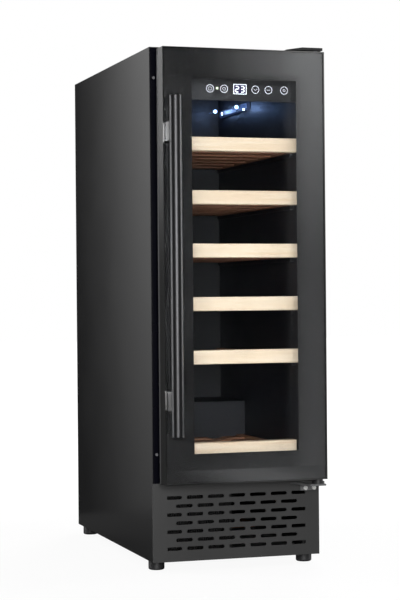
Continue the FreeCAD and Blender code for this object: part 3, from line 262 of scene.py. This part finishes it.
def beech():
    """Pale steamed beech: long soft grain along the rail, and short dark flecks."""
    shader = Shader("beech").set(IOR=1.45)
    grain = shader.noise(30.0, 5.0, 0.6, shader.stretched((0.35, 3.0, 6.0)))
    flecks = shader.noise(420.0, 2.0, 0.5, shader.stretched((0.22, 1.0, 1.6)))
    base = shader.ramp(grain, [(0.25, (0.74, 0.54, 0.36)), (0.5, (0.82, 0.65, 0.46)),
                               (0.8, (0.87, 0.73, 0.56))])
    marks = shader.ramp(flecks, [(0.33, 0.86), (0.45, 1.0)])
    mix = shader.add("ShaderNodeMix", data_type="RGBA", blend_type="MULTIPLY")
    mix.inputs["Factor"].default_value = 0.6
    shader.wire(base, mix.inputs["A"])
    shader.wire(marks, mix.inputs["B"])
    shader.wire(mix.outputs["Result"], shader.skin.inputs["Base Color"])
    shader.rough(grain, 0.42, 0.55)
    return shader.bump(flecks, 0.08 * MM, 0.5).material


def slat_wood():
    """Reddish-brown slats, grained across the cooler."""
    shader = Shader("slat_wood").set(IOR=1.45)
    grain = shader.noise(60.0, 5.0, 0.55, shader.stretched((0.15, 4.0, 3.0)))
    shader.tone(grain, [(0.25, (0.24, 0.098, 0.048)), (0.55, (0.31, 0.135, 0.068)),
                        (0.8, (0.37, 0.17, 0.09))])
    shader.rough(grain, 0.5, 0.65)
    return shader.bump(grain, 0.15 * MM, 0.5).material


def rubber(name, colour):
    """Matt rubber with a dusty, fine grain."""
    shader = Shader(name).set(IOR=1.45)
    fine = shader.noise(700.0, 3.0)
    shader.vary(fine, colour, 0.85, 1.15)
    shader.rough(fine, 0.6, 0.72)
    return shader.bump(fine, 0.06 * MM, 0.5).material


def foam():
    """Yellow insulation foam with open cells."""
    shader = Shader("foam").set(IOR=1.3)
    cells = shader.noise(320.0, 4.0)
    shader.tone(cells, [(0.3, (0.70, 0.62, 0.40)), (0.7, (0.84, 0.78, 0.56))])
    shader.rough(cells, 0.85, 0.95)
    return shader.bump(cells, 0.4 * MM, 0.7).material


def clear_glass(name, tint):
    """Float glass that lets lamps through, so that the inside is lit."""
    shader = Shader(name).set(Base_Color=tint, Transmission_Weight=1.0, IOR=1.5)
    smears = shader.noise(7.0, 2.0)
    shader.rough(smears, 0.0, 0.02)
    path = shader.add("ShaderNodeLightPath")
    through = shader.add("ShaderNodeBsdfTransparent")
    through.inputs["Color"].default_value = (*tint, 1.0)
    surface = shader.mixed(path.outputs["Is Shadow Ray"], shader.skin.outputs["BSDF"],
                           through.outputs["BSDF"])
    shader.wire(surface, shader.output.inputs["Surface"])
    return shader.material


def glowing(name, colour, strength, body=grey(0.8)):
    """A lit surface whose light varies a little over it."""
    shader = Shader(name).set(Base_Color=body, Roughness=0.35, Emission_Strength=strength)
    low, high = NOISE_RANGE
    patches = shader.noise(60.0, 1.0)
    light = shader.ramp(patches, [(low, tinted(colour, 0.9)), (high, colour)])
    shader.wire(light, shader.skin.inputs["Emission Color"])
    return shader.material


# ------------------------------------------------------------------ mesh building

def placed(name, data):
    """A new object in the scene."""
    obj = bpy.data.objects.new(name, data)
    bpy.context.scene.collection.objects.link(obj)
    return obj


def piece(name, verts, faces, material, body, smooth=False):
    """A new mesh that rides on a body and takes the given material."""
    mesh = bpy.data.meshes.new(name)
    mesh.from_pydata([tuple(v) for v in verts], [], faces)
    mesh.validate()
    mesh.materials.append(material)
    if smooth:
        mesh.shade_smooth()
    obj = placed(name, mesh)
    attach(obj, body)


def joined(parts):
    """Several (verts, faces) as one."""
    verts, faces = [], []
    for some_verts, some_faces in parts:
        shift = len(verts)
        verts.extend(some_verts)
        faces.extend(tuple(i + shift for i in face) for face in some_faces)
    return verts, faces


def raised(outline, back, front):
    """A closed flat shape in XZ given by its outline, extruded from y=back to y=front."""
    count = len(outline)
    verts = [Vector((x, back, z)) for x, z in outline]
    verts += [Vector((x, front, z)) for x, z in outline]
    faces = [tuple(range(count)), tuple(range(2 * count - 1, count - 1, -1))]
    for i in range(count):
        j = (i + 1) % count
        faces.append((i, i + count, j + count, j))
    return verts, faces


def band(inner, outer, back, front):
    """A closed ring between two outlines with as many points, extruded along Y."""
    count = len(inner)
    verts = [Vector((x, y, z)) for y in (back, front) for ring in (inner, outer) for x, z in ring]
    faces = []
    for i in range(count):
        j = (i + 1) % count
        a, b, c, d = i, j, j + count, i + count
        e, f, g, k = (n + 2 * count for n in (a, b, c, d))
        faces += [(a, b, c, d), (e, k, g, f), (a, e, f, b), (d, c, g, k)]
    return verts, faces


def circle_points(x, z, radius, count=40):
    """The outline of a circle in XZ."""
    turns = [2 * math.pi * i / count for i in range(count)]
    return [(x + radius * math.cos(turn), z + radius * math.sin(turn)) for turn in turns]


def arc(radius, start, sweep, count=16):
    """Points of an arc around the origin, angles in degrees."""
    turns = [math.radians(start + sweep * i / count) for i in range(count + 1)]
    return [(radius * math.cos(turn), radius * math.sin(turn)) for turn in turns]


def stroke(points, width, back, front):
    """A line of even width along points in XZ, as a closed solid."""
    left, right = [], []
    for i, (x, z) in enumerate(points):
        x0, z0 = points[max(i - 1, 0)]
        x1, z1 = points[min(i + 1, len(points) - 1)]
        length = math.hypot(x1 - x0, z1 - z0)
        nx, nz = -(z1 - z0) / length * width / 2, (x1 - x0) / length * width / 2
        left.append((x + nx, z + nz))
        right.append((x - nx, z - nz))
    return raised(left + right[::-1], back, front)


def rectangle(low, high, grow):
    """The outline of a box seen from the front, grown all round."""
    return [(low.x - grow, low.z - grow), (high.x + grow, low.z - grow),
            (high.x + grow, high.z + grow), (low.x - grow, high.z + grow)]


def dome(x, y, z, radius, height, rings=5, count=24):
    """A shallow dome that faces -X on the plane at x, closed at its back."""
    verts, faces = [], []
    for ring in range(rings):
        tilt = math.pi / 2 * ring / rings
        front = x - height * math.sin(tilt)
        circle = circle_points(y, z, radius * math.cos(tilt), count)
        verts += [Vector((front, v, w)) for v, w in circle]
    verts.append(Vector((x - height, y, z)))
    tip = len(verts) - 1
    for ring in range(rings - 1):
        for i in range(count):
            a, b = ring * count + i, ring * count + (i + 1) % count
            faces.append((a, b, b + count, a + count))
    last = (rings - 1) * count
    faces += [(last + i, last + (i + 1) % count, tip) for i in range(count)]
    faces.append(tuple(range(count - 1, -1, -1)))
    return verts, faces


def bevel(node, width, segments=2):
    """Softens a CAD node's hard edges without moving it."""
    modifier = NODES[node].modifiers.new("soft_edges", "BEVEL")
    modifier.width = width
    modifier.segments = segments
    modifier.limit_method = "ANGLE"
    modifier.angle_limit = math.radians(40)
    modifier.harden_normals = True


def coat(material, *nodes):
    """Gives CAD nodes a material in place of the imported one."""
    for node in nodes:
        slots = NODES[node].data.materials
        slots.clear()
        slots.append(material)


# ------------------------------------------------------------------ finishes

def shelf_nodes(kind):
    return [f"shelf_{i}_{kind}" for i in range(1, 6)]


def finish_cabinet():
    black_paint = painted("cabinet_paint", (0.011, 0.011, 0.0114), 0.20)
    coat(black_paint, "outer_shell", "back_panel", "rear_cover")
    coat(painted("plinth_paint", grey(0.040), 0.42), "kick_grille")
    # The flange's paint is much darker and bluer than the cabinet's: painted shade for the door's
    # shadow on it.
    coat(painted("flange_painted_shade", (0.0015, 0.0015, 0.004), 0.25, ior=1.2), "front_frame")
    coat(foam(), "insulation_foam")
    coat(plastic("liner_plastic", (0.006, 0.0065, 0.009), 0.5), "inner_liner", "shelf_runners")
    coat(metal("hinge_steel", (0.16, 0.16, 0.17), 0.42), "top_hinge_bracket")
    coat(metal("bracket_steel", (0.20, 0.20, 0.205), 0.45, shine=0.5), "bottom_hinge_bracket")
    coat(screw_metal(), "cabinet_screws")


def finish_door():
    """The glass is tinted a little, and the handle is brushed along its length."""
    coat(door_frame_paint(), "door_frame")
    coat(clear_glass("front_pane", (0.90, 0.91, 0.92)), "front_glass")
    coat(clear_glass("inner_pane", (0.95, 0.96, 0.97)), "inner_glass")
    coat(metal("spacer_metal", (0.06, 0.06, 0.065), 0.4), "glass_spacer")
    coat(metal("handle_metal", (0.046, 0.046, 0.048), 0.37, (8.0, 8.0, 0.15)), "handle_bar")
    coat(metal("post_metal", (0.06, 0.06, 0.062), 0.36), "handle_posts")


def finish_inside():
    coat(beech(), *shelf_nodes("front"), "bottom_rack_front")
    coat(slat_wood(), *shelf_nodes("rack"), "bottom_rack")
    coat(plastic("fascia_plastic", (0.008, 0.008, 0.009), 0.38, ior=1.7), "control_fascia")
    coat(plastic("board_green", (0.02, 0.12, 0.05), 0.4), "control_board")
    coat(glowing("lamp_diffuser", (0.16, 0.30, 0.85), 0.12, (0.05, 0.06, 0.09)), "interior_lamp")
    coat(glowing("display_glow", (0.09, 0.05, 0.42), 0.22, (0.01, 0.01, 0.03)), "display_module")
    coat(metal("fin_aluminium", (0.74, 0.75, 0.76), 0.34), "evaporator_plate")


def finish_machine_bay():
    coat(metal("galvanised_steel", (0.52, 0.53, 0.54), 0.38, grain=60.0), "base_pan")
    coat(painted("bay_paint", grey(0.008), 0.6), "machine_bay_panel")
    coat(painted("condenser_paint", grey(0.006), 0.6), "condenser_coil")
    coat(painted("compressor_paint", grey(0.018), 0.34), "compressor")
    coat(metal("copper", (0.76, 0.38, 0.22), 0.32), "refrigerant_pipes")
    coat(plastic("tray_plastic", grey(0.5), 0.5), "drip_tray", "drain_tube")


def finish_black_mouldings():
    """The plastic and rubber parts that share one finish each."""
    coat(plastic("black_plastic", (0.018, 0.018, 0.019), 0.48),
         "door_inner_frame", "rear_duct_cover", "control_housing", "top_hinge_cover",
         "hinge_riser", "relay_box", "door_bushes", "power_inlet",
         "foot_front_left", "foot_front_right", "foot_rear_left", "foot_rear_right",
         "circulation_fan_frame", "circulation_fan_blades",
         "condenser_fan_frame", "condenser_fan_blades")
    coat(rubber("black_rubber", (0.005, 0.005, 0.007)), "door_gasket", "compressor_mounts")


PRINT_GAP = 0.05 * MM


def border_print():
    """The black print behind the front glass, a hair clear of it so that both faces mirror."""
    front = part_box("printed_border")[0].y + PRINT_GAP
    mesh = NODES["printed_border"].data.copy()
    for vertex in mesh.vertices:
        vertex.co.y = max(vertex.co.y, front)
    mesh.materials.clear()
    mesh.materials.append(painted("black_print", (0.007, 0.007, 0.0071), 0.13, 0.0, ior=3.0))
    obj = placed("border_print", mesh)
    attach(obj, "door")
    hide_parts("printed_border")


def soften_edges():
    for node in ("outer_shell", "kick_grille", "door_frame"):
        bevel(node, 0.6 * MM)
    for node in ("handle_posts", "top_hinge_cover", "bottom_hinge_bracket", "cabinet_screws"):
        bevel(node, 0.5 * MM)
    for node in shelf_nodes("rack") + ["bottom_rack"]:
        bevel(node, 0.8 * MM)
    bevel("door_gasket", 3.0 * MM, 4)


# ------------------------------------------------------------------ control panel

PRINT_DEPTH = 0.15 * MM

# Places on the fascia are (x from its middle, z from its bottom), in millimetres.
KEY_PLACES = [(x, 19.5) for x in (-42.8, -18.1, 37.5, 60.9, 89.0)]
KEY_RADIUS = 6.6 * MM
KEY_LINE = 0.65 * MM
STATUS_PLACE = (-30.4, 20.2)
STATUS_RADIUS = 2.1 * MM

# A sign's lines are points in millimetres from the key's middle. The ring stops one degree
# short of closing, because a line has two ends.
SIGN_LINE = 0.45 * MM
POWER = [arc(3.0, 120, 300), [(0.0, 1.2), (0.0, 4.2)]]
LAMP = [arc(2.4, -60, 300), [(-1.2, -3.6), (1.2, -3.6)]]
DOWN = [[(-3.0, 1.4), (0.0, -1.8), (3.0, 1.4)]]
BAR = [[(-3.2, 0.0), (3.2, 0.0)]]
RING = [arc(1.8, 0, 359)]

DIGIT_WIDTH = 5.6 * MM
DIGIT_HEIGHT = 9.6 * MM
DIGIT_LINE = 1.9 * MM
DIGIT_BARS = {"2": "abged", "3": "abgcd"}
# Each digit and its left edge, from the display's middle.
DIGIT_PLACES = (("2", -7.6 * MM), ("3", 1.9 * MM))
# The part of its thickness by which a digit's bar stops short at each end.
BAR_GAP = 0.15
DISPLAY_LINE_INSIDE = 0.9 * MM
DISPLAY_LINE_OUTSIDE = 0.1 * MM


def fascia_front():
    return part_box("control_fascia")[0].y


def panel_point(x, z):
    """A place on the fascia as x and z in the part's frame."""
    low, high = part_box("control_fascia")
    return (low.x + high.x) / 2 + x * MM, low.z + z * MM


def on_panel(name, parts, material):
    verts, faces = joined(parts)
    piece(name, verts, faces, material, "cabinet")


def key_ring(x, z):
    y = fascia_front()
    inner = circle_points(x, z, KEY_RADIUS - KEY_LINE)
    return band(inner, circle_points(x, z, KEY_RADIUS), y, y - PRINT_DEPTH)


def sign_line(points, x, z):
    """One line of a sign on the key whose middle is at (x, z)."""
    y = fascia_front()
    path = [(x + u * MM, z + v * MM) for u, v in points]
    return stroke(path, SIGN_LINE, y, y - PRINT_DEPTH)


def touch_keys():
    """Five ringed keys with plain signs."""
    white = glowing("key_print", (0.88, 0.9, 1.0), 1.5)
    keys = zip(KEY_PLACES, (POWER, LAMP, DOWN, BAR, RING))
    for number, (place, sign) in enumerate(keys, start=1):
        x, z = panel_point(*place)
        parts = [key_ring(x, z)] + [sign_line(points, x, z) for points in sign]
        on_panel(f"touch_key_{number}", parts, white)


def status_light():
    """The small green light between the first two keys."""
    x, z = panel_point(*STATUS_PLACE)
    y = fascia_front()
    dot = raised(circle_points(x, z, STATUS_RADIUS, 24), y, y - PRINT_DEPTH * 2)
    on_panel("status_light", [dot], glowing("light_green", (0.62, 0.90, 0.22), 1.6))


def digit_bar(start, end, y):
    """A bar with pointed ends between two points in XZ."""
    along = (end - start).normalized()
    across = Vector((-along.y, along.x)) * DIGIT_LINE / 2
    start = start + along * DIGIT_LINE * BAR_GAP
    end = end - along * DIGIT_LINE * BAR_GAP
    tip = along * DIGIT_LINE / 2
    outline = [start, start + tip + across, end - tip + across, end,
               end - tip - across, start + tip - across]
    return raised([(point.x, point.y) for point in outline], y, y - PRINT_DEPTH)


def digit(figure, x, z, y):
    """A seven-segment digit, its low left corner at (x, z)."""
    right, top, middle = DIGIT_WIDTH, DIGIT_HEIGHT, DIGIT_HEIGHT / 2
    ends = {"a": ((0, top), (right, top)), "b": ((right, middle), (right, top)),
            "c": ((right, 0), (right, middle)), "d": ((0, 0), (right, 0)),
            "e": ((0, 0), (0, middle)), "g": ((0, middle), (right, middle))}
    corner = Vector((x, z))
    bars = [ends[name] for name in DIGIT_BARS[figure]]
    return [digit_bar(corner + Vector(start), corner + Vector(end), y) for start, end in bars]


def display():
    """The white frame around the display and its two glowing digits."""
    low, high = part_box("display_module")
    white = glowing("display_print", (0.9, 0.95, 1.0), 1.6)
    middle_x, middle_z = (low.x + high.x) / 2, (low.z + high.z) / 2
    digits = []
    for figure, shift in DIGIT_PLACES:
        digits += digit(figure, middle_x + shift, middle_z - DIGIT_HEIGHT / 2, low.y)
    on_panel("display_digits", digits, white)
    face = min(fascia_front(), low.y) - PRINT_DEPTH
    ring = band(rectangle(low, high, -DISPLAY_LINE_INSIDE),
                rectangle(low, high, DISPLAY_LINE_OUTSIDE), face, face - PRINT_DEPTH)
    on_panel("display_frame", [ring], white)


# ------------------------------------------------------------------ interior lamp

LENS_RADIUS = 2.4 * MM
LENS_HEIGHT = 0.6 * LENS_RADIUS
# From the strip's front end and its middle, and from its rear end and its middle.
FRONT_LENS = (18.0 * MM, -5.0 * MM)
REAR_LENS = (-17.0 * MM, 0.0)
LAMP_WATTS = 0.05
LAMP_RADIUS = 3.0 * MM
# Each lamp's light starts this far in front of its lens and above it.
LAMP_AHEAD = 14.0 * MM
LAMP_ABOVE = 4.0 * MM


def point_light(name, place):
    light = bpy.data.lights.new(name, "POINT")
    light.energy = LAMP_WATTS
    light.color = (0.30, 0.50, 1.0)
    light.shadow_soft_size = LAMP_RADIUS
    placed(name, light).location = place


def lamp_lenses():
    """Two bright points on the lamp's strip, as its light-emitting diodes show through."""
    low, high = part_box("interior_lamp")
    middle = (low.z + high.z) / 2
    white = glowing("lamp_point", (0.62, 0.82, 1.0), 14.0)
    places = ((low.y + FRONT_LENS[0], middle + FRONT_LENS[1]),
              (high.y + REAR_LENS[0], middle + REAR_LENS[1]))
    for number, (y, z) in enumerate(places, start=1):
        verts, faces = dome(low.x, y, z, LENS_RADIUS, LENS_HEIGHT)
        piece(f"lamp_lens_{number}", verts, faces, white, "cabinet", smooth=True)
        point_light(f"lamp_glow_{number}", (low.x - LAMP_AHEAD, y, z + LAMP_ABOVE))


# ------------------------------------------------------------------ studio

def upright(low, high, y):
    """The corners of a sheet that stands at y, between two (x, z) corners."""
    (x0, z0), (x1, z1) = low, high
    return [(x0, y, z0), (x1, y, z0), (x1, y, z1), (x0, y, z1)]


def flat(low, high, z):
    """The corners of a sheet that lies at z, between two (x, y) corners."""
    (x0, y0), (x1, y1) = low, high
    return [(x0, y0, z), (x1, y0, z), (x1, y1, z), (x0, y1, z)]


FLOOR_REACH = 14.0
# How bright the eye sees the floor near the object and far from it, and those distances.
FLOOR_GLOW = (0.93, 1.1)
FLOOR_DISTANCES = (0.5, 2.2)


def floor():
    """A pale floor: white to the eye like the surround, and darker where gloss mirrors it."""
    mesh = bpy.data.meshes.new("studio_floor")
    mesh.from_pydata(flat((-FLOOR_REACH, -FLOOR_REACH), (FLOOR_REACH, FLOOR_REACH), 0.0),
                     [], [(0, 1, 2, 3)])
    shader = Shader("floor_white").set(Roughness=0.9, Specular_IOR_Level=0.1,
                                       Emission_Color=grey(1.0))
    shader.tone(shader.noise(1.5, 2.0), [(0.3, grey(0.045)), (0.7, grey(0.048))])
    length = shader.add("ShaderNodeVectorMath", operation="LENGTH")
    shader.wire(shader.place, length.inputs[0])
    glow = shader.map_range(length.outputs["Value"], *FLOOR_DISTANCES, *FLOOR_GLOW)
    to_the_eye = shader.add("ShaderNodeLightPath").outputs["Is Camera Ray"]
    shader.wire(shader.calculate("MULTIPLY", glow, to_the_eye),
                shader.skin.inputs["Emission Strength"])
    mesh.materials.append(shader.material)
    placed("studio_floor", mesh)


SURROUND_WHITE = (1.0, 1.0, 1.0, 1.0)
SURROUND_LIGHT = (0.01, 0.01, 0.0105, 1.0)
FIELD_WHITE = (0.8, 0.8, 0.8, 1.0)
# The surround is dim to the surfaces but for two soft fields. Each has its direction, the cosine
# of the angle from it where the field starts, and its brightness.
SURROUND_FIELDS = (((0.62, 0.74, 0.26), 0.15, 0.30), ((-0.72, -0.66, 0.20), 0.55, 0.12))


def background(nodes, colour):
    node = nodes.add("ShaderNodeBackground")
    node.inputs["Color"].default_value = colour
    return node


def soft_field(nodes, direction, start, brightness):
    """A part of the surround that grows brighter towards a direction."""
    place = nodes.add("ShaderNodeTexCoord").outputs["Generated"]
    facing = nodes.add("ShaderNodeVectorMath", operation="DOT_PRODUCT")
    facing.inputs[1].default_value = Vector(direction).normalized()
    nodes.wire(place, facing.inputs[0])
    field = background(nodes, FIELD_WHITE)
    nodes.wire(nodes.glide(facing.outputs["Value"], start, 1.0, 0.0, brightness),
               field.inputs["Strength"])
    return field.outputs["Background"]


def world():
    """A plain surround: white to the eye, dim to the surfaces, so that the lights shape them."""
    surround = bpy.data.worlds.new("surround")
    bpy.context.scene.world = surround
    nodes = Nodes(surround)
    output = nodes.add("ShaderNodeOutputWorld")
    shading = background(nodes, SURROUND_LIGHT).outputs["Background"]
    for direction, start, brightness in SURROUND_FIELDS:
        both = nodes.add("ShaderNodeAddShader")
        nodes.wire(shading, both.inputs[0])
        nodes.wire(soft_field(nodes, direction, start, brightness), both.inputs[1])
        shading = both.outputs["Shader"]
    white = background(nodes, SURROUND_WHITE).outputs["Background"]
    to_the_eye = nodes.add("ShaderNodeLightPath").outputs["Is Camera Ray"]
    nodes.wire(nodes.mixed(to_the_eye, shading, white), output.inputs["Surface"])


def card(name, corners, shader, light):
    """A glowing reflector, hidden from the eye and without a shadow, mostly for the gloss."""
    mesh = bpy.data.meshes.new(name)
    mesh.from_pydata(corners, [], [(0, 1, 2, 3)])
    shader.set(Base_Color=grey(0.0), Specular_IOR_Level=0.0, Emission_Color=grey(1.0))
    shader.wire(light, shader.skin.inputs["Emission Strength"])
    mesh.materials.append(shader.material)
    obj = placed(name, mesh)
    obj.visible_camera = False
    obj.visible_shadow = False


# How bright the cards get. Their sweeps start and end at places across them (x) and up them
# (z), in metres.
CORNER_GLOW = 0.46
EDGE_GLOW = 0.21
FLOOR_PATCH_GLOW = (0.44, 0.12)
SIDE_GLOW = 0.54


def front_card():
    """A sweep at the front right that shades the door's print and leaves the window dark."""
    shader = Shader("front_card")
    x, _, z = shader.apart(shader.place)
    corner = shader.calculate("MULTIPLY", shader.glide(x, 0.36, 0.71, 0.0, CORNER_GLOW),
                              shader.glide(z, 0.50, 1.10))
    edge = shader.calculate("MULTIPLY", shader.glide(x, 0.60, 0.68),
                            shader.glide(x, 0.70, 0.90, EDGE_GLOW, 0.0))
    beside_window = shader.calculate("MAXIMUM", shader.glide(x, 0.63, 0.70),
                                     shader.glide(z, 1.0, 1.04))
    light = shader.calculate("MULTIPLY", shader.calculate("ADD", corner, edge), beside_window)
    card("front_card", upright((0.30, 0.01), (1.40, 1.70), -1.77), shader, light)


def floor_card():
    """A pale patch of floor that the door's bottom rail mirrors."""
    shader = Shader("floor_card")
    x, _, _ = shader.apart(shader.place)
    light = shader.calculate("MULTIPLY", shader.glide(x, 0.30, 0.50),
                             shader.glide(x, 0.52, 0.70, *FLOOR_PATCH_GLOW))
    card("floor_card", flat((0.25, -1.83), (0.95, -1.36), 4.0 * MM), shader, light)


def side_card():
    """A sweep behind the left that shades the cabinet's side: bright at its front and top."""
    shader = Shader("side_card")
    x, _, z = shader.apart(shader.place)
    across = shader.map_range(x, -0.212, -0.340, 0.43, 1.0, clamp=False)
    up = shader.map_range(z, 0.0, 0.935, 0.56, 1.04, clamp=False)
    to_the_front = shader.calculate("POWER", shader.calculate("MINIMUM", across, 1.12), 2.9)
    to_the_top = shader.calculate("POWER", up, 2.25)
    sweep = shader.calculate("MULTIPLY", to_the_front, to_the_top)
    card("side_card", upright((-0.155, 0.01), (-0.60, 1.30), 0.50), shader,
         shader.calculate("MULTIPLY", sweep, SIDE_GLOW))


def aim(obj, place, target):
    """Puts a light at a place and turns it to a target."""
    obj.location = place
    towards = Vector(target) - Vector(place)
    obj.rotation_euler = towards.to_track_quat("-Z", "Y").to_euler()


EDGE_LIGHT_PLACE = (-0.70, -0.20, 1.02)
EDGE_LIGHT_TARGET = (-0.1413, -0.25, 0.84)
EDGE_LIGHT_WATTS = 105.0
EDGE_LIGHT_CONE = math.radians(52)
EDGE_LIGHT_RADIUS = 0.05


def door_edge_light():
    """A narrow soft light that grazes only the door's frame, brightest at its top."""
    light = bpy.data.lights.new("door_edge_light", "SPOT")
    light.energy = EDGE_LIGHT_WATTS
    light.spot_size = EDGE_LIGHT_CONE
    light.spot_blend = 1.0
    light.shadow_soft_size = EDGE_LIGHT_RADIUS
    obj = placed("door_edge_light", light)
    aim(obj, EDGE_LIGHT_PLACE, EDGE_LIGHT_TARGET)
    obj.visible_glossy = False
    lit = bpy.data.collections.new("door_edge_only")
    lit.objects.link(NODES["door_frame"])
    obj.light_linking.receiver_collection = lit


# Each softbox: name, place, what it points at, width, height, watts.
SOFTBOXES = (
    ("key_left", (-0.80, -3.1, 0.68), (0.0, -0.2, 0.42), 1.1, 1.0, 74.0),
    ("right_side", (2.4, -0.15, 1.0), (0.0, -0.15, 0.5), 0.5, 1.8, 45.0),
    ("rear_left_strip", (-1.55, 0.6, 0.6), (-0.13, -0.3, 0.5), 0.3, 1.6, 24.0),
    ("overhead", (0.2, -0.6, 3.2), (0.0, 0.0, 0.0), 3.5, 3.5, 40.0),
    ("rear_right", (1.4, 2.3, 1.6), (0.0, 0.3, 0.45), 1.2, 1.6, 70.0),
)
# These light the object but don't show in its gloss.
UNMIRRORED = ("overhead", "rear_right")


def softbox(name, place, target, width, height, power):
    """A rectangular studio light that points at a target."""
    light = bpy.data.lights.new(name, "AREA")
    light.shape = "RECTANGLE"
    light.size = width
    light.size_y = height
    light.energy = power
    obj = placed(name, light)
    aim(obj, place, target)
    obj.visible_camera = False
    obj.visible_glossy = name not in UNMIRRORED


# The camera stands 2.7 m in front of the door and 0.8 m to the left of it, halfway up, and
# looks level, 17.7 degrees to the right.
CAMERA_PLACE = (-0.9298, -2.9293, 0.4583)
CAMERA_YAW = math.radians(17.703)
CAMERA_PITCH = math.radians(-0.153)
CAMERA_ROLL = math.radians(0.487)
CAMERA_LENS = 102.54
CAMERA_SENSOR = 36.0
CAMERA_SEES = 100.0


def camera_turn():
    """The camera's axes as a matrix: yaw and pitch first, then the roll about its own line."""
    level = math.cos(CAMERA_PITCH)
    ahead = Vector((math.sin(CAMERA_YAW) * level, math.cos(CAMERA_YAW) * level,
                    math.sin(CAMERA_PITCH)))
    right = Vector((math.cos(CAMERA_YAW), -math.sin(CAMERA_YAW), 0.0))
    up = right.cross(ahead)
    cos_roll, sin_roll = math.cos(CAMERA_ROLL), math.sin(CAMERA_ROLL)
    rolled_right = right * cos_roll - up * sin_roll
    rolled_up = right * sin_roll + up * cos_roll
    return Matrix((rolled_right, rolled_up, -ahead)).transposed().to_4x4()


def camera():
    data = bpy.data.cameras.new("camera")
    data.lens = CAMERA_LENS
    data.sensor_width = CAMERA_SENSOR
    data.clip_end = CAMERA_SEES
    obj = placed("camera", data)
    obj.matrix_world = Matrix.Translation(CAMERA_PLACE) @ camera_turn()
    bpy.context.scene.camera = obj


# ------------------------------------------------------------------ the scene

camera()
world()
floor()
for box in SOFTBOXES:
    softbox(*box)
door_edge_light()
front_card()
floor_card()
side_card()
finish_cabinet()
finish_door()
finish_inside()
finish_machine_bay()
finish_black_mouldings()
border_print()
soften_edges()
lamp_lenses()
touch_keys()
status_light()
display()
bpy.context.scene.view_settings.view_transform = "Standard"
bpy.context.view_layer.update()
